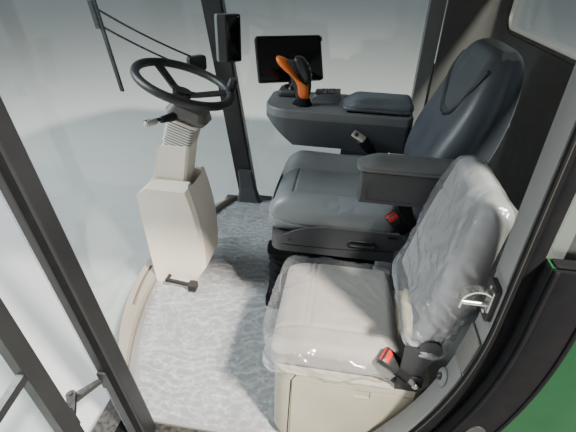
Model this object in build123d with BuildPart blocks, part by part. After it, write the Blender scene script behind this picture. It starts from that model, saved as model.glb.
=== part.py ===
from build123d import *
from math import asin, cos, radians, sin, sqrt, tan
import os

os.makedirs("parts", exist_ok=True)

# Combine harvester cab. +X is the operator's left, -Y the front, +Z up.
# The origin is the centre of the four base bolts, on the underside of the feet.

# Base frame and floor
BOLT_X = 590           # half the bolt pattern, across
BOLT_Y = 575           # half the bolt pattern, along
BOLT_R = 13
FOOT_SIDE = 124
FOOT_H = 30
RAIL_X = 480
RAIL_W = 80
RAIL_H = 120
RAIL_FRONT = -690
TUBE_WALL = 6
SILL_W = 70
SILL_H = 60
PAN_T = 20
MAT_T = 10
PAN_Z = FOOT_H + RAIL_H
PAN_TOP = PAN_Z + PAN_T
FLOOR = PAN_TOP + MAT_T

# Cab shell
GLASS_R = 1250         # plan radius of the windshield, inner face
GLASS_Y = 450          # centre of that radius at floor height
GLASS_T = 6
SIDE_T = 5             # thickness of the flat panes
BOND = 0.3             # gap between a pane or trim and what carries it
HALF_W = 875           # outer face of the posts
REAR_Y = 905           # outer face of the rear posts
LEAN = 0.1475          # forward lean of the front posts and windshield, mm per mm
RING_Z = 1740
RING_H = 60
RING_W = 80
GLASS_TOP = RING_Z + 35
GLASS_HALF = 865
POST_W = 70
POST_BACK = 50         # front posts reach this far behind the glass corner
POST_D = 125
MIDDLE_D = 75
REAR_POST_D = 75
WALL_T = 30
WALL_TOP = 1310
PANEL_TOP = 1100
PANEL_LOW = 90
LAP = 35               # how far panes and door reach past the opening
CORNER_R = 1100        # round lower rear corner of the side openings
MIDDLE_FRONT = 505     # front face of the middle posts
CORNER_Z = 930
EDGE_GAP = 10          # round the moving door
SEAL_W = 14
SEAL_T = 9.7

# Roof
ROOF_OUT = 55
ROOF_SHIFT = -40
ROOF_H = 150
LINER_Z = RING_Z + 20
LINER_T = 15
LAMP_BAR_H = 80
LAMP_BAR_T = 40
LAMP_W = 130
LAMP_H = 62
LAMP_ANGLES = (-34, -22, -10, 10, 22, 34)

# Door and its hinge
HINGE_OUT = 70         # hinge line outside the posts
HINGE_FORE = 97        # and ahead of the front posts' rear face, at floor height
HINGE_R = 14
PIN_R = 6
PIN_GAP = 0.3
HINGE_LEAF = 14
HINGE_HEIGHTS = (300, 1250)   # above the floor, along the hinge line
DOOR_LOW = 135
DOOR_OPEN = 90
DOOR_FRAME_W = 48
DOOR_FRAME_T = 28
DOOR_STAND = 15        # gap between the posts and the shut door's frame

# Steering column
HOUSING_HALF = 122
COLUMN_HALF = 62
COLUMN_CLEAR = 6
PIVOT_BACK = 192       # pivot behind the glass, at floor height
PIVOT_Z = FLOOR + 450
PIVOT_R = 80           # round lower end of the tilting column
TILT_BACK = 9          # degrees that the column tilts towards the seat
TILT_PIN_R = 10
TILT_PIN_L = 14
WHEEL_BACK = 118       # wheel centre behind the pivot
WHEEL_Z = FLOOR + 960
WHEEL_TILT = 19
WHEEL_R = 186
RIM_R = 14

# Operator's seat
SEAT_Y = 250           # swivel axis
SEAT_HALF = 255
BACK_HALF = 245
CONSOLE_NEAR = -272
CONSOLE_FAR = -600
ARM_NEAR = 262
ARM_W = 62

# Instructor's seat
BUDDY_W = 445
BUDDY_SIDE = 85        # from the outer face of the posts
BUDDY_FRONT = 10
BUDDY_FOLD_Y = 430
BUDDY_FOLD_Z = FLOOR + 530
BUDDY_END_R = 42

STRETCH = sqrt(1 + LEAN**2)
GLASS_FRONT = GLASS_Y - GLASS_R
GLASS_CORNER = GLASS_Y - sqrt(GLASS_R**2 - HALF_W**2)
POST_REAR = GLASS_CORNER + POST_BACK
CORNER_Y = MIDDLE_FRONT - CORNER_R
HINGE_X = HALF_W + HINGE_OUT
HINGE_Y = POST_REAR - HINGE_FORE
DOOR_INNER = HALF_W + DOOR_STAND
PIVOT_Y = GLASS_FRONT + PIVOT_BACK
WHEEL_Y = PIVOT_Y + WHEEL_BACK
BUDDY_X1 = HALF_W - BUDDY_SIDE
BUDDY_X0 = BUDDY_X1 - BUDDY_W
LEAN_DIR = (0, -LEAN, 1)
HINGE_DIR = Vector(0, -LEAN, 1).normalized()


def lean(z):
    """Shift along Y of everything that follows the front glass, at height z."""
    return -LEAN * (z - FLOOR)


def cab_outline(inset, shift):
    """Plan of the cab inside its glass: round front, straight sides and back."""
    radius = GLASS_R - BOND - inset
    half = HALF_W - inset
    corner = GLASS_Y + shift - sqrt(radius**2 - half**2)
    with BuildSketch(mode=Mode.PRIVATE) as plan:
        with BuildLine():
            ThreePointArc((-half, corner), (0, GLASS_Y + shift - radius), (half, corner))
            Polyline((half, corner), (half, REAR_Y - inset), (-half, REAR_Y - inset), (-half, corner))
        make_face()
    return plan.sketch_local


def opening_outline(grow, low, high):
    """Side opening seen from the left: leaning front, upright back, round lower corner."""
    radius = CORNER_R + grow
    back = CORNER_Y + radius
    drop = asin((CORNER_Z - low) / radius)
    foot = CORNER_Y + radius * cos(drop)
    middle = (CORNER_Y + radius * cos(drop / 2), CORNER_Z - radius * sin(drop / 2))
    front_low = POST_REAR - grow + lean(low)
    front_high = POST_REAR - grow + lean(high)
    with BuildSketch(mode=Mode.PRIVATE) as outline:
        with BuildLine():
            Polyline((foot, low), (front_low, low), (front_high, high), (back, high), (back, CORNER_Z))
            ThreePointArc((back, CORNER_Z), middle, (foot, low))
        make_face()
    return outline.sketch_local


def hinge_plane(height):
    """Plane square to the door's hinge line, X outwards and Y rearwards."""
    origin = (HINGE_X, HINGE_Y - LEAN * height, FLOOR + height)
    return Plane(origin=origin, x_dir=(1, 0, 0), z_dir=HINGE_DIR)


def door_plane(x):
    """Side-view plane of the open door, for what lies at this X when the door is shut."""
    shut = Location(Plane(origin=(x, 0, 0), x_dir=(0, 1, 0), z_dir=(1, 0, 0)))
    foot = Vector(HINGE_X, HINGE_Y, FLOOR)
    swing = Location(foot) * Location((0, 0, 0), HINGE_DIR, -DOOR_OPEN) * Location(foot * -1)
    return Plane(swing * shut)


# Base frame: rails, cross members and side sills of square tube, on four feet
CROSS_END = HALF_W - SILL_W
RAIL_L = REAR_Y - RAIL_FRONT
SILL_FRONT = POST_REAR - 40
SILL_L = REAR_Y - SILL_FRONT
RAIL_MID_Z = FOOT_H + RAIL_H / 2
SILL_MID_Z = PAN_Z - SILL_H / 2
tube_runs = (  # section plane, run length, then the centre, width and height of the section
    (Plane.XZ.offset(-REAR_Y), RAIL_L, -RAIL_X, RAIL_MID_Z, RAIL_W, RAIL_H),
    (Plane.XZ.offset(-REAR_Y), RAIL_L, RAIL_X, RAIL_MID_Z, RAIL_W, RAIL_H),
    (Plane.XZ.offset(-REAR_Y), SILL_L, -HALF_W + SILL_W / 2, SILL_MID_Z, SILL_W, SILL_H),
    (Plane.XZ.offset(-REAR_Y), SILL_L, HALF_W - SILL_W / 2, SILL_MID_Z, SILL_W, SILL_H),
)
for bolt_y in (-BOLT_Y, BOLT_Y):
    for start, end in ((-CROSS_END, -RAIL_X - RAIL_W / 2), (-RAIL_X + RAIL_W / 2, RAIL_X - RAIL_W / 2),
                       (RAIL_X + RAIL_W / 2, CROSS_END)):
        tube_runs += ((Plane.YZ.offset(start), end - start, bolt_y, RAIL_MID_Z, RAIL_W, RAIL_H),)
with BuildPart() as base_frame:
    for section_plane, run, across, up, wide, high in tube_runs:
        with BuildSketch(section_plane):
            with Locations((across, up)):
                Rectangle(wide, high)
                Rectangle(wide - 2 * TUBE_WALL, high - 2 * TUBE_WALL, mode=Mode.SUBTRACT)
        extrude(amount=run)
    with BuildSketch(Plane.XY.offset(PAN_Z - SILL_H)):
        with Locations((-HALF_W + SILL_W / 2, -BOLT_Y), (HALF_W - SILL_W / 2, -BOLT_Y)):
            Rectangle(SILL_W, RAIL_W)
    extrude(amount=SILL_H)
    with BuildSketch(Plane.XY):
        with GridLocations(2 * BOLT_X, 2 * BOLT_Y, 2, 2):
            Rectangle(FOOT_SIDE, FOOT_SIDE)
            Circle(BOLT_R, mode=Mode.SUBTRACT)
    extrude(amount=FOOT_H)
    with BuildSketch(Plane.XY):
        with GridLocations(2 * BOLT_X, 2 * BOLT_Y, 2, 2):
            Circle(BOLT_R)
    extrude(amount=FOOT_H + TUBE_WALL, mode=Mode.SUBTRACT)
base_frame.part.label = "base_frame"
export_step(base_frame.part, "parts/base_frame.step")

# Floor pan and rubber mat
SIDE_TRIM = HALF_W - POST_W - 1
TRIM_R = 1.376 * GLASS_R     # inner edge of the front trim, as a flatter arc
TRIM_D = 95            # depth of the trim at the middle
TRIM_Y = GLASS_FRONT + TRIM_D + TRIM_R
with BuildPart() as floor_pan:
    with BuildSketch(Plane.XY.offset(PAN_Z)):
        add(cab_outline(0, lean(PAN_Z)))
    extrude(amount=PAN_T)
floor_pan.part.label = "floor_pan"
export_step(floor_pan.part, "parts/floor_pan.step")

MAT_REAR = REAR_Y - WALL_T - 5
with BuildPart() as floor_mat:
    with BuildSketch(Plane.XY.offset(PAN_TOP)):
        with Locations((0, TRIM_Y)):
            Circle(TRIM_R - BOND)
        with Locations((0, MAT_REAR - CORNER_R)):
            Rectangle(2 * (HALF_W - POST_W - 5), 2 * CORNER_R, mode=Mode.INTERSECT)
    extrude(amount=MAT_T)
floor_mat.part.label = "floor_mat"
export_step(floor_mat.part, "parts/floor_mat.step")

# Front trim: the raised step along the foot of the windshield, with its vent slots
TRIM_TOP = FLOOR + 32
VENT_W = 14
VENT_R = GLASS_R - 50
VENT_L = 620
VENT_SPLIT = 60
with BuildPart() as front_trim:
    with BuildSketch(Plane.XY.offset(PAN_TOP)):
        with Locations((0, GLASS_Y)):
            Circle(GLASS_R - 8)
        with Locations((0, -CORNER_R / 2)):
            Rectangle(2 * SIDE_TRIM, CORNER_R, mode=Mode.INTERSECT)
        with Locations((0, TRIM_Y)):
            Circle(TRIM_R, mode=Mode.SUBTRACT)
    extrude(amount=TRIM_TOP - PAN_TOP)
    chamfer(front_trim.faces().sort_by(Axis.Z)[-1].edges().sort_by(SortBy.LENGTH)[-2:-1], 10)
    with BuildSketch(Plane.XY.offset(TRIM_TOP)):
        with Locations((0, GLASS_Y)):
            Circle(VENT_R + VENT_W)
            Circle(VENT_R, mode=Mode.SUBTRACT)
        with Locations((0, -HALF_W)):
            Rectangle(VENT_L, CORNER_R / 2, mode=Mode.INTERSECT)
        with Locations((0, -HALF_W)):
            Rectangle(VENT_SPLIT, CORNER_R / 2, mode=Mode.SUBTRACT)
    extrude(amount=-18, mode=Mode.SUBTRACT)
front_trim.part.label = "front_trim"
export_step(front_trim.part, "parts/front_trim.step")

# Leaning front posts, their front faces on the glass radius
POST_X = HALF_W - POST_W / 2
POST_RUN = (RING_Z - PAN_TOP) * STRETCH
with BuildPart() as front_posts:
    with BuildSketch(Plane.XY.offset(PAN_TOP)) as post_section:
        with Locations((-POST_X, POST_REAR - POST_D / 2 + lean(PAN_TOP)),
                       (POST_X, POST_REAR - POST_D / 2 + lean(PAN_TOP))):
            Rectangle(POST_W, POST_D)
        with Locations((0, GLASS_Y + lean(PAN_TOP))):
            Circle(GLASS_R - BOND, mode=Mode.INTERSECT)
        fillet(post_section.vertices().sort_by(Axis.Y)[-4:], 14)
    extrude(amount=POST_RUN, dir=LEAN_DIR)
front_posts.part.label = "front_posts"
export_step(front_posts.part, "parts/front_posts.step")

# Flared cover round the foot of the right front post
COVER_H = 210
COVER_ROWS = ((0, 66, 172, 28), (0.12, 60, 150, 26), (0.45, 40, 112, 18), (1, 26, 96, 11))
with BuildPart() as post_cover:
    for share, cover_w, cover_d, cover_r in COVER_ROWS:
        rise = share * COVER_H
        with BuildSketch(Plane.XY.offset(FLOOR + rise)) as cover_section:
            with Locations((-HALF_W + POST_W + BOND + cover_w / 2, POST_REAR - 38 + lean(FLOOR + rise))):
                Rectangle(cover_w, cover_d)
            fillet(cover_section.vertices(), cover_r)
    loft(ruled=True)
post_cover.part.label = "post_cover"
export_step(post_cover.part, "parts/post_cover.step")

# Middle posts: upright, then curving forward round the corner of the opening
post_band = opening_outline(MIDDLE_D, PAN_TOP, RING_Z)
post_inner = opening_outline(0, PAN_TOP - 1, RING_Z + 1)
with BuildPart() as middle_posts:
    for start in (-HALF_W, HALF_W - POST_W):
        with BuildSketch(Plane.YZ.offset(start)):
            add(post_band)
            add(post_inner, mode=Mode.SUBTRACT)
            with Locations((-CORNER_R, CORNER_Z)):
                Rectangle(2 * CORNER_R, 3 * CORNER_R, mode=Mode.SUBTRACT)
        extrude(amount=POST_W)
middle_posts.part.label = "middle_posts"
export_step(middle_posts.part, "parts/middle_posts.step")

with BuildPart() as rear_posts:
    with BuildSketch(Plane.XY.offset(PAN_TOP)) as rear_section:
        with Locations((-POST_X, REAR_Y - REAR_POST_D / 2), (POST_X, REAR_Y - REAR_POST_D / 2)):
            Rectangle(POST_W, REAR_POST_D)
        fillet(rear_section.vertices().group_by(Axis.Y)[0], 12)
    extrude(amount=RING_Z - PAN_TOP)
rear_posts.part.label = "rear_posts"
export_step(rear_posts.part, "parts/rear_posts.step")

# Rear wall with a pressed field, and side panels behind the openings
with BuildPart() as rear_wall:
    with BuildSketch(Plane.XY.offset(PAN_TOP)):
        with Locations((0, REAR_Y - WALL_T / 2)):
            Rectangle(2 * (HALF_W - POST_W), WALL_T)
    extrude(amount=WALL_TOP - PAN_TOP)
    with BuildSketch(Plane.XZ.offset(-REAR_Y + WALL_T)):
        with Locations((0, (WALL_TOP + PAN_TOP) / 2)):
            RectangleRounded(2 * (HALF_W - POST_W) - 140, WALL_TOP - PAN_TOP - 160, 60)
    extrude(amount=-10, mode=Mode.SUBTRACT)
rear_wall.part.label = "rear_wall"
export_step(rear_wall.part, "parts/rear_wall.step")

# Lining of the rear wall and the right rear corner, with the rear window's opening
LINING_T = 20
LINING_CORNER = 90
VIEW_W = 1440
VIEW_LOW = WALL_TOP + 5
VIEW_HIGH = RING_Z - 30
VIEW_R = 80
VIEW_STEP = 15         # seal recess round the opening
VIEW_STEP_D = 6
lining_side = HALF_W - POST_W - BOND
lining_back = REAR_Y - WALL_T - BOND
lining_front = MIDDLE_FRONT + MIDDLE_D + 5
with BuildPart() as rear_lining:
    with BuildSketch(Plane.XY.offset(FLOOR + BOND)) as lining_plan:
        with BuildLine():
            Polyline((-lining_side, lining_front), (-lining_side, lining_back), (lining_side, lining_back),
                     (lining_side, lining_back - LINING_T), (LINING_T - lining_side, lining_back - LINING_T),
                     (LINING_T - lining_side, lining_front), close=True)
        make_face()
        inner_corner = lining_plan.vertices().filter_by(
            lambda v: v.X == LINING_T - lining_side and v.Y == lining_back - LINING_T)
        fillet(inner_corner, LINING_CORNER)
    extrude(amount=RING_Z - FLOOR - 2 * BOND)
    for grow, depth in ((0, LINING_T), (VIEW_STEP, VIEW_STEP_D)):
        with BuildSketch(Plane.XZ.offset(LINING_T - lining_back)):
            with Locations((0, (VIEW_LOW + VIEW_HIGH) / 2)):
                RectangleRounded(VIEW_W + 2 * grow, VIEW_HIGH - VIEW_LOW + 2 * grow, VIEW_R + grow)
        extrude(amount=-depth, mode=Mode.SUBTRACT)
rear_lining.part.label = "rear_lining"
export_step(rear_lining.part, "parts/rear_lining.step")

panel_gap = opening_outline(LAP + EDGE_GAP, PANEL_LOW - 1, PANEL_TOP + 1)
with BuildPart() as side_panels:
    for start in (-HALF_W - WALL_T, HALF_W):
        with BuildSketch(Plane.YZ.offset(start)):
            with Locations((REAR_Y / 2, (PANEL_LOW + PANEL_TOP) / 2)):
                Rectangle(REAR_Y, PANEL_TOP - PANEL_LOW)
            add(panel_gap, mode=Mode.SUBTRACT)
        extrude(amount=WALL_T)
side_panels.part.label = "side_panels"
export_step(side_panels.part, "parts/side_panels.step")

# Panes
QUARTER_FRONT = CORNER_Y + CORNER_R + LAP + EDGE_GAP
QUARTER_REAR = REAR_Y - 15
with BuildPart() as quarter_windows:
    for start in (-HALF_W - BOND - SIDE_T, HALF_W + BOND):
        with BuildSketch(Plane.YZ.offset(start)):
            with Locations(((QUARTER_FRONT + QUARTER_REAR) / 2, (PANEL_TOP + BOND + GLASS_TOP) / 2)):
                RectangleRounded(QUARTER_REAR - QUARTER_FRONT, GLASS_TOP - PANEL_TOP - BOND, 30)
        extrude(amount=SIDE_T)
quarter_windows.part.label = "quarter_windows"
export_step(quarter_windows.part, "parts/quarter_windows.step")

with BuildPart() as rear_window:
    with BuildSketch(Plane.XZ.offset(-REAR_Y - BOND - SIDE_T)):
        with Locations((0, (WALL_TOP - 25 + GLASS_TOP) / 2)):
            RectangleRounded(2 * HALF_W - 30, GLASS_TOP - WALL_TOP + 25, 40)
    extrude(amount=SIDE_T)
rear_window.part.label = "rear_window"
export_step(rear_window.part, "parts/rear_window.step")

with BuildPart() as right_window:
    with BuildSketch(Plane.YZ.offset(-HALF_W - BOND - SIDE_T)):
        add(opening_outline(LAP, DOOR_LOW, GLASS_TOP))
    extrude(amount=SIDE_T)
right_window.part.label = "right_window"
export_step(right_window.part, "parts/right_window.step")

GLASS_LOW = PAN_Z + 5
with BuildPart() as windshield:
    with BuildSketch(Plane.XY.offset(GLASS_LOW)):
        with Locations((0, GLASS_Y + lean(GLASS_LOW))):
            Circle(GLASS_R + GLASS_T)
            Circle(GLASS_R, mode=Mode.SUBTRACT)
        with Locations((0, -GLASS_R / 2)):
            Rectangle(2 * GLASS_HALF, GLASS_R, mode=Mode.INTERSECT)
    extrude(amount=(GLASS_TOP - GLASS_LOW) * STRETCH, dir=LEAN_DIR)
windshield.part.label = "windshield"
export_step(windshield.part, "parts/windshield.step")

# Wiper: motor hub, two curved arms and a blade that lies along the glass
WIPER_HUB = (-HALF_W + 115, FLOOR + 870)
WIPER_PIVOTS = ((0, 22), (45, -24))    # arm roots from the hub's centre
WIPER_X = -260
WIPER_MEETS = (FLOOR + 1190, FLOOR + 1120)
BLADE_LOW = FLOOR + 830
BLADE_HIGH = FLOOR + 1480
BLADE_W = 12
BLADE_T = 16
ARM_R = 5
WIPER_OUT = 26         # arms clear of the glass


def glass_point(x, z, out):
    """Point outside the windshield, at this distance from its outer face."""
    return (x, GLASS_Y + lean(z) - sqrt((GLASS_R + GLASS_T + out)**2 - x**2), z)


with BuildPart() as wiper:
    hub_x, hub_z = WIPER_HUB
    hub_turn = asin(-hub_x / (GLASS_R + GLASS_T))
    with BuildSketch(Plane(origin=glass_point(hub_x, hub_z, WIPER_OUT + 12),
                           x_dir=(cos(hub_turn), -sin(hub_turn), 0),
                           z_dir=(sin(hub_turn), cos(hub_turn), 0))):
        RectangleRounded(110, 84, 20)
    extrude(amount=WIPER_OUT + 5)
    for (root_x, root_z), meet_z in zip(WIPER_PIVOTS, WIPER_MEETS):
        arm_foot = (hub_x + root_x, hub_z + root_z)
        arm_mid = ((arm_foot[0] + WIPER_X) / 2, (arm_foot[1] + meet_z) / 2)
        arm_line = ThreePointArc(glass_point(*arm_foot, WIPER_OUT), glass_point(*arm_mid, WIPER_OUT),
                                 glass_point(WIPER_X, meet_z, WIPER_OUT), mode=Mode.PRIVATE)
        with BuildSketch(Plane(origin=arm_line @ 0, z_dir=arm_line % 0)):
            Circle(ARM_R)
        sweep(path=arm_line)
    blade_foot = glass_point(WIPER_X, BLADE_LOW, BOND + BLADE_T / 2)
    blade_turn = asin(-WIPER_X / (GLASS_R + GLASS_T))
    with BuildSketch(Plane(origin=blade_foot, x_dir=(cos(blade_turn), -sin(blade_turn), 0), z_dir=(0, 0, 1))):
        Rectangle(BLADE_W, BLADE_T)
    extrude(amount=(BLADE_HIGH - BLADE_LOW) * STRETCH, dir=LEAN_DIR)
    link_foot = glass_point(WIPER_X, WIPER_MEETS[1] - 20, WIPER_OUT - 2)
    with BuildSketch(Plane(origin=link_foot, x_dir=(cos(blade_turn), -sin(blade_turn), 0), z_dir=(0, 0, 1))):
        Rectangle(16, 22)
    extrude(amount=(WIPER_MEETS[0] - WIPER_MEETS[1] + 40) * STRETCH, dir=LEAN_DIR)
wiper.part.label = "wiper"
export_step(wiper.part, "parts/wiper.step")

# Roof: ring, headliner, shell and lamp bar
ring_outer = cab_outline(0, lean(RING_Z))
ring_inner = cab_outline(RING_W, lean(RING_Z))
liner_plan = cab_outline(RING_W + BOND, lean(RING_Z))
with BuildPart() as roof_frame:
    with BuildSketch(Plane.XY.offset(RING_Z)):
        add(ring_outer)
        add(ring_inner, mode=Mode.SUBTRACT)
    extrude(amount=RING_H)
roof_frame.part.label = "roof_frame"
export_step(roof_frame.part, "parts/roof_frame.step")

with BuildPart() as headliner:
    with BuildSketch(Plane.XY.offset(LINER_Z)):
        add(liner_plan)
    extrude(amount=LINER_T)
headliner.part.label = "headliner"
export_step(headliner.part, "parts/headliner.step")

ROOF_Z = RING_Z + RING_H
roof_plan = cab_outline(-ROOF_OUT, lean(RING_Z) + ROOF_SHIFT)
with BuildPart() as roof_shell:
    with BuildSketch(Plane.XY.offset(ROOF_Z)) as roof_section:
        add(roof_plan)
        fillet(roof_section.vertices(), 90)
    extrude(amount=ROOF_H, taper=12)
    fillet(roof_shell.edges().group_by(Axis.Z)[-1], 30)
roof_shell.part.label = "roof_shell"
export_step(roof_shell.part, "parts/roof_shell.step")

LAMP_FACE = GLASS_R + ROOF_OUT + LAMP_BAR_T
LAMP_Y = GLASS_Y + lean(RING_Z) + ROOF_SHIFT
with BuildPart() as lamp_bar:
    with BuildSketch(Plane.XY.offset(ROOF_Z)):
        with Locations((0, LAMP_Y)):
            Circle(LAMP_FACE)
            Circle(LAMP_FACE - LAMP_BAR_T, mode=Mode.SUBTRACT)
        with Locations((0, -GLASS_R)):
            Rectangle(2 * (HALF_W - 20), GLASS_R, mode=Mode.INTERSECT)
    extrude(amount=LAMP_BAR_H)
    for angle in LAMP_ANGLES:
        turn = radians(angle)
        face_point = (LAMP_FACE * sin(turn), LAMP_Y - LAMP_FACE * cos(turn), ROOF_Z + LAMP_BAR_H / 2)
        with BuildSketch(Plane(origin=face_point, x_dir=(cos(turn), sin(turn), 0),
                               z_dir=(sin(turn), -cos(turn), 0))):
            RectangleRounded(LAMP_W, LAMP_H, 14)
        extrude(amount=-22, mode=Mode.SUBTRACT)
lamp_bar.part.label = "lamp_bar"
export_step(lamp_bar.part, "parts/lamp_bar.step")

# Rubber seal round the left opening, on the faces of the posts
seal_outer = opening_outline(SEAL_W, PAN_TOP - 12, RING_Z + SEAL_W)
seal_inner = opening_outline(0, PAN_TOP - 4, RING_Z)
with BuildPart() as door_seal:
    with BuildSketch(Plane.YZ.offset(HALF_W + BOND)):
        add(seal_outer)
        add(seal_inner, mode=Mode.SUBTRACT)
    extrude(amount=SEAL_T)
door_seal.part.label = "door_seal"
export_step(door_seal.part, "parts/door_seal.step")

# Door: tube frame, bonded pane, latch box and hinge arms
GLASS_OUT = DOOR_INNER + DOOR_FRAME_T + BOND
GRAB_Z = FLOOR + 560
GRAB_R = 10
grab_front = POST_REAR + lean(GRAB_Z) - LAP + DOOR_FRAME_W / 2
grab_rear = MIDDLE_FRONT + LAP - DOOR_FRAME_W / 2
with BuildPart() as door_frame:
    with BuildSketch(door_plane(DOOR_INNER)):
        add(opening_outline(LAP, DOOR_LOW, GLASS_TOP))
        add(opening_outline(LAP - DOOR_FRAME_W, DOOR_LOW + DOOR_FRAME_W, GLASS_TOP - DOOR_FRAME_W),
            mode=Mode.SUBTRACT)
    extrude(amount=DOOR_FRAME_T)
    with BuildSketch(door_plane(DOOR_INNER + GRAB_R + 2)):
        with Locations(((grab_front + grab_rear) / 2, GRAB_Z)):
            Rectangle(grab_rear - grab_front, 2 * GRAB_R)
    extrude(amount=GRAB_R, both=True)
door_frame.part.label = "door_frame"
export_step(door_frame.part, "parts/door_frame.step")

with BuildPart() as door_glass:
    with BuildSketch(door_plane(GLASS_OUT)):
        add(opening_outline(LAP - 6, DOOR_LOW + 6, GLASS_TOP - 6))
    extrude(amount=SIDE_T)
door_glass.part.label = "door_glass"
export_step(door_glass.part, "parts/door_glass.step")

# Striker on the middle post: plate, bolt rod and the strap that carries the rod's far end
STRIKER_Z = FLOOR + 765
STRIKER_W = 50
STRIKER_H = 96
STRIKER_T = 12
STRIKER_SEAT = 0.4     # the post starts to curve behind the plate's foot
BOLT_ROD_X = HALF_W - 25
ROD_R = 6
ROD_L = 62
STRAP_W = 22
STRAP_T = 4
STRAP_H = 36
plate_face = MIDDLE_FRONT - STRIKER_T
rod_end = plate_face - ROD_L
with BuildPart() as striker_plate:
    with BuildSketch(Plane.XZ.offset(-MIDDLE_FRONT + STRIKER_SEAT)):
        with Locations((BOLT_ROD_X - 10, STRIKER_Z + 6)):
            RectangleRounded(STRIKER_W, STRIKER_H, 10)
    extrude(amount=STRIKER_T - STRIKER_SEAT)
striker_plate.part.label = "striker_plate"
export_step(striker_plate.part, "parts/striker_plate.step")

with BuildPart() as striker:
    with BuildSketch(Plane.XZ.offset(-plate_face)):
        with Locations((BOLT_ROD_X, STRIKER_Z)):
            Circle(ROD_R)
    extrude(amount=ROD_L)
    with BuildSketch(Plane.YZ.offset(BOLT_ROD_X - STRAP_W / 2)):
        with BuildLine():
            ThreePointArc((plate_face, STRIKER_Z + STRAP_H - 8),
                          (plate_face - ROD_L / 2, STRIKER_Z + STRAP_H + 4),
                          (rod_end, STRIKER_Z + 12))
            Polyline((rod_end, STRIKER_Z + 12), (rod_end, STRIKER_Z - 10), (rod_end + STRAP_T, STRIKER_Z - 10),
                     (rod_end + STRAP_T, STRIKER_Z + 10))
            ThreePointArc((rod_end + STRAP_T, STRIKER_Z + 10), (plate_face - ROD_L / 2, STRIKER_Z + STRAP_H),
                          (plate_face, STRIKER_Z + STRAP_H - 12))
            Line((plate_face, STRIKER_Z + STRAP_H - 12), (plate_face, STRIKER_Z + STRAP_H - 8))
        make_face()
    extrude(amount=STRAP_W)
    with BuildSketch(Plane.XZ.offset(-plate_face)):
        with Locations((BOLT_ROD_X, STRIKER_Z + STRAP_H / 2 - 4)):
            RectangleRounded(STRAP_W + 4, STRAP_H + 24, 4)
    extrude(amount=STRAP_T - 1)
striker.part.label = "striker"
export_step(striker.part, "parts/striker.step")

# Latch under the strap: its slot takes the rod and is open upwards
LATCH_D = 34
LATCH_H = 92
LATCH_TOP = STRIKER_Z + ROD_R + 4
STILE_INNER = MIDDLE_FRONT + LAP - DOOR_FRAME_W
LATCH_MID = plate_face - ROD_L / 2
LATCH_T = DOOR_INNER - BOLT_ROD_X + 22
LATCH_PLATE_T = 16
with BuildPart() as door_latch:
    with BuildSketch(door_plane(DOOR_INNER - LATCH_T)):
        with Locations((LATCH_MID, LATCH_TOP - LATCH_H / 2)):
            RectangleRounded(LATCH_D, LATCH_H, 6)
    extrude(amount=LATCH_T)
    with BuildSketch(door_plane(DOOR_INNER - LATCH_T)):
        with Locations((LATCH_MID, STRIKER_Z)):
            Rectangle(LATCH_D, 2 * (ROD_R + 5))
    extrude(amount=LATCH_T - 10, mode=Mode.SUBTRACT)
    with BuildSketch(door_plane(DOOR_INNER)):
        with Locations(((LATCH_MID - LATCH_D / 2 + STILE_INNER - BOND) / 2, LATCH_TOP - LATCH_H / 4)):
            Rectangle(STILE_INNER - BOND - LATCH_MID + LATCH_D / 2, LATCH_H / 2)
    extrude(amount=LATCH_PLATE_T)
door_latch.part.label = "door_latch"
export_step(door_latch.part, "parts/door_latch.step")

LEAF_IN = HALF_W - HINGE_X
LEAF_T = 8
LEAF_MID = POST_REAR - HINGE_Y - 33
LEAF_W = 34
BLOCK_GAP = 1.5
DOOR_EDGE = (POST_REAR - LAP - HINGE_Y) / STRETCH
ARM_HIGH = HINGE_X - DOOR_INNER - 2
ARM_LOW = ARM_HIGH - DOOR_FRAME_T + 4
with BuildPart() as hinge_brackets:
    for height in HINGE_HEIGHTS:
        with BuildSketch(hinge_plane(height)):
            Circle(HINGE_R)
            with BuildLine():
                Polyline((LEAF_IN, LEAF_MID), (LEAF_IN + LEAF_T, LEAF_MID - 10), (7, 12), (-7, -12),
                         (LEAF_IN, LEAF_MID - LEAF_W / 2), (LEAF_IN, LEAF_MID))
            make_face()
        extrude(amount=HINGE_LEAF)
        with BuildSketch(hinge_plane(height)):
            Circle(PIN_R)
        extrude(amount=2 * HINGE_LEAF + BLOCK_GAP + 4)
        with BuildSketch(hinge_plane(height - 25)):
            with Locations((LEAF_IN + LEAF_T / 2, LEAF_MID)):
                Rectangle(LEAF_T, LEAF_W)
        extrude(amount=HINGE_LEAF + 50)
hinge_brackets.part.label = "hinge_brackets"
export_step(hinge_brackets.part, "parts/hinge_brackets.step")

with BuildPart() as hinge_arms:
    for height in HINGE_HEIGHTS:
        with BuildSketch(hinge_plane(height + HINGE_LEAF + BLOCK_GAP)):
            Circle(HINGE_R)
            with BuildLine():
                Polyline((0, -HINGE_R), (DOOR_EDGE, ARM_LOW), (DOOR_EDGE, ARM_HIGH), (-8, 11), (0, -HINGE_R))
            make_face()
            Circle(PIN_R + PIN_GAP, mode=Mode.SUBTRACT)
        extrude(amount=HINGE_LEAF)
        with BuildSketch(hinge_plane(height - 10)):
            with Locations((DOOR_EDGE - 3, (ARM_LOW + ARM_HIGH) / 2)):
                Rectangle(6, ARM_HIGH - ARM_LOW)
        extrude(amount=2 * HINGE_LEAF + 40)
hinge_arms.part.label = "hinge_arms"
export_step(hinge_arms.part, "parts/hinge_arms.step")

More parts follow.
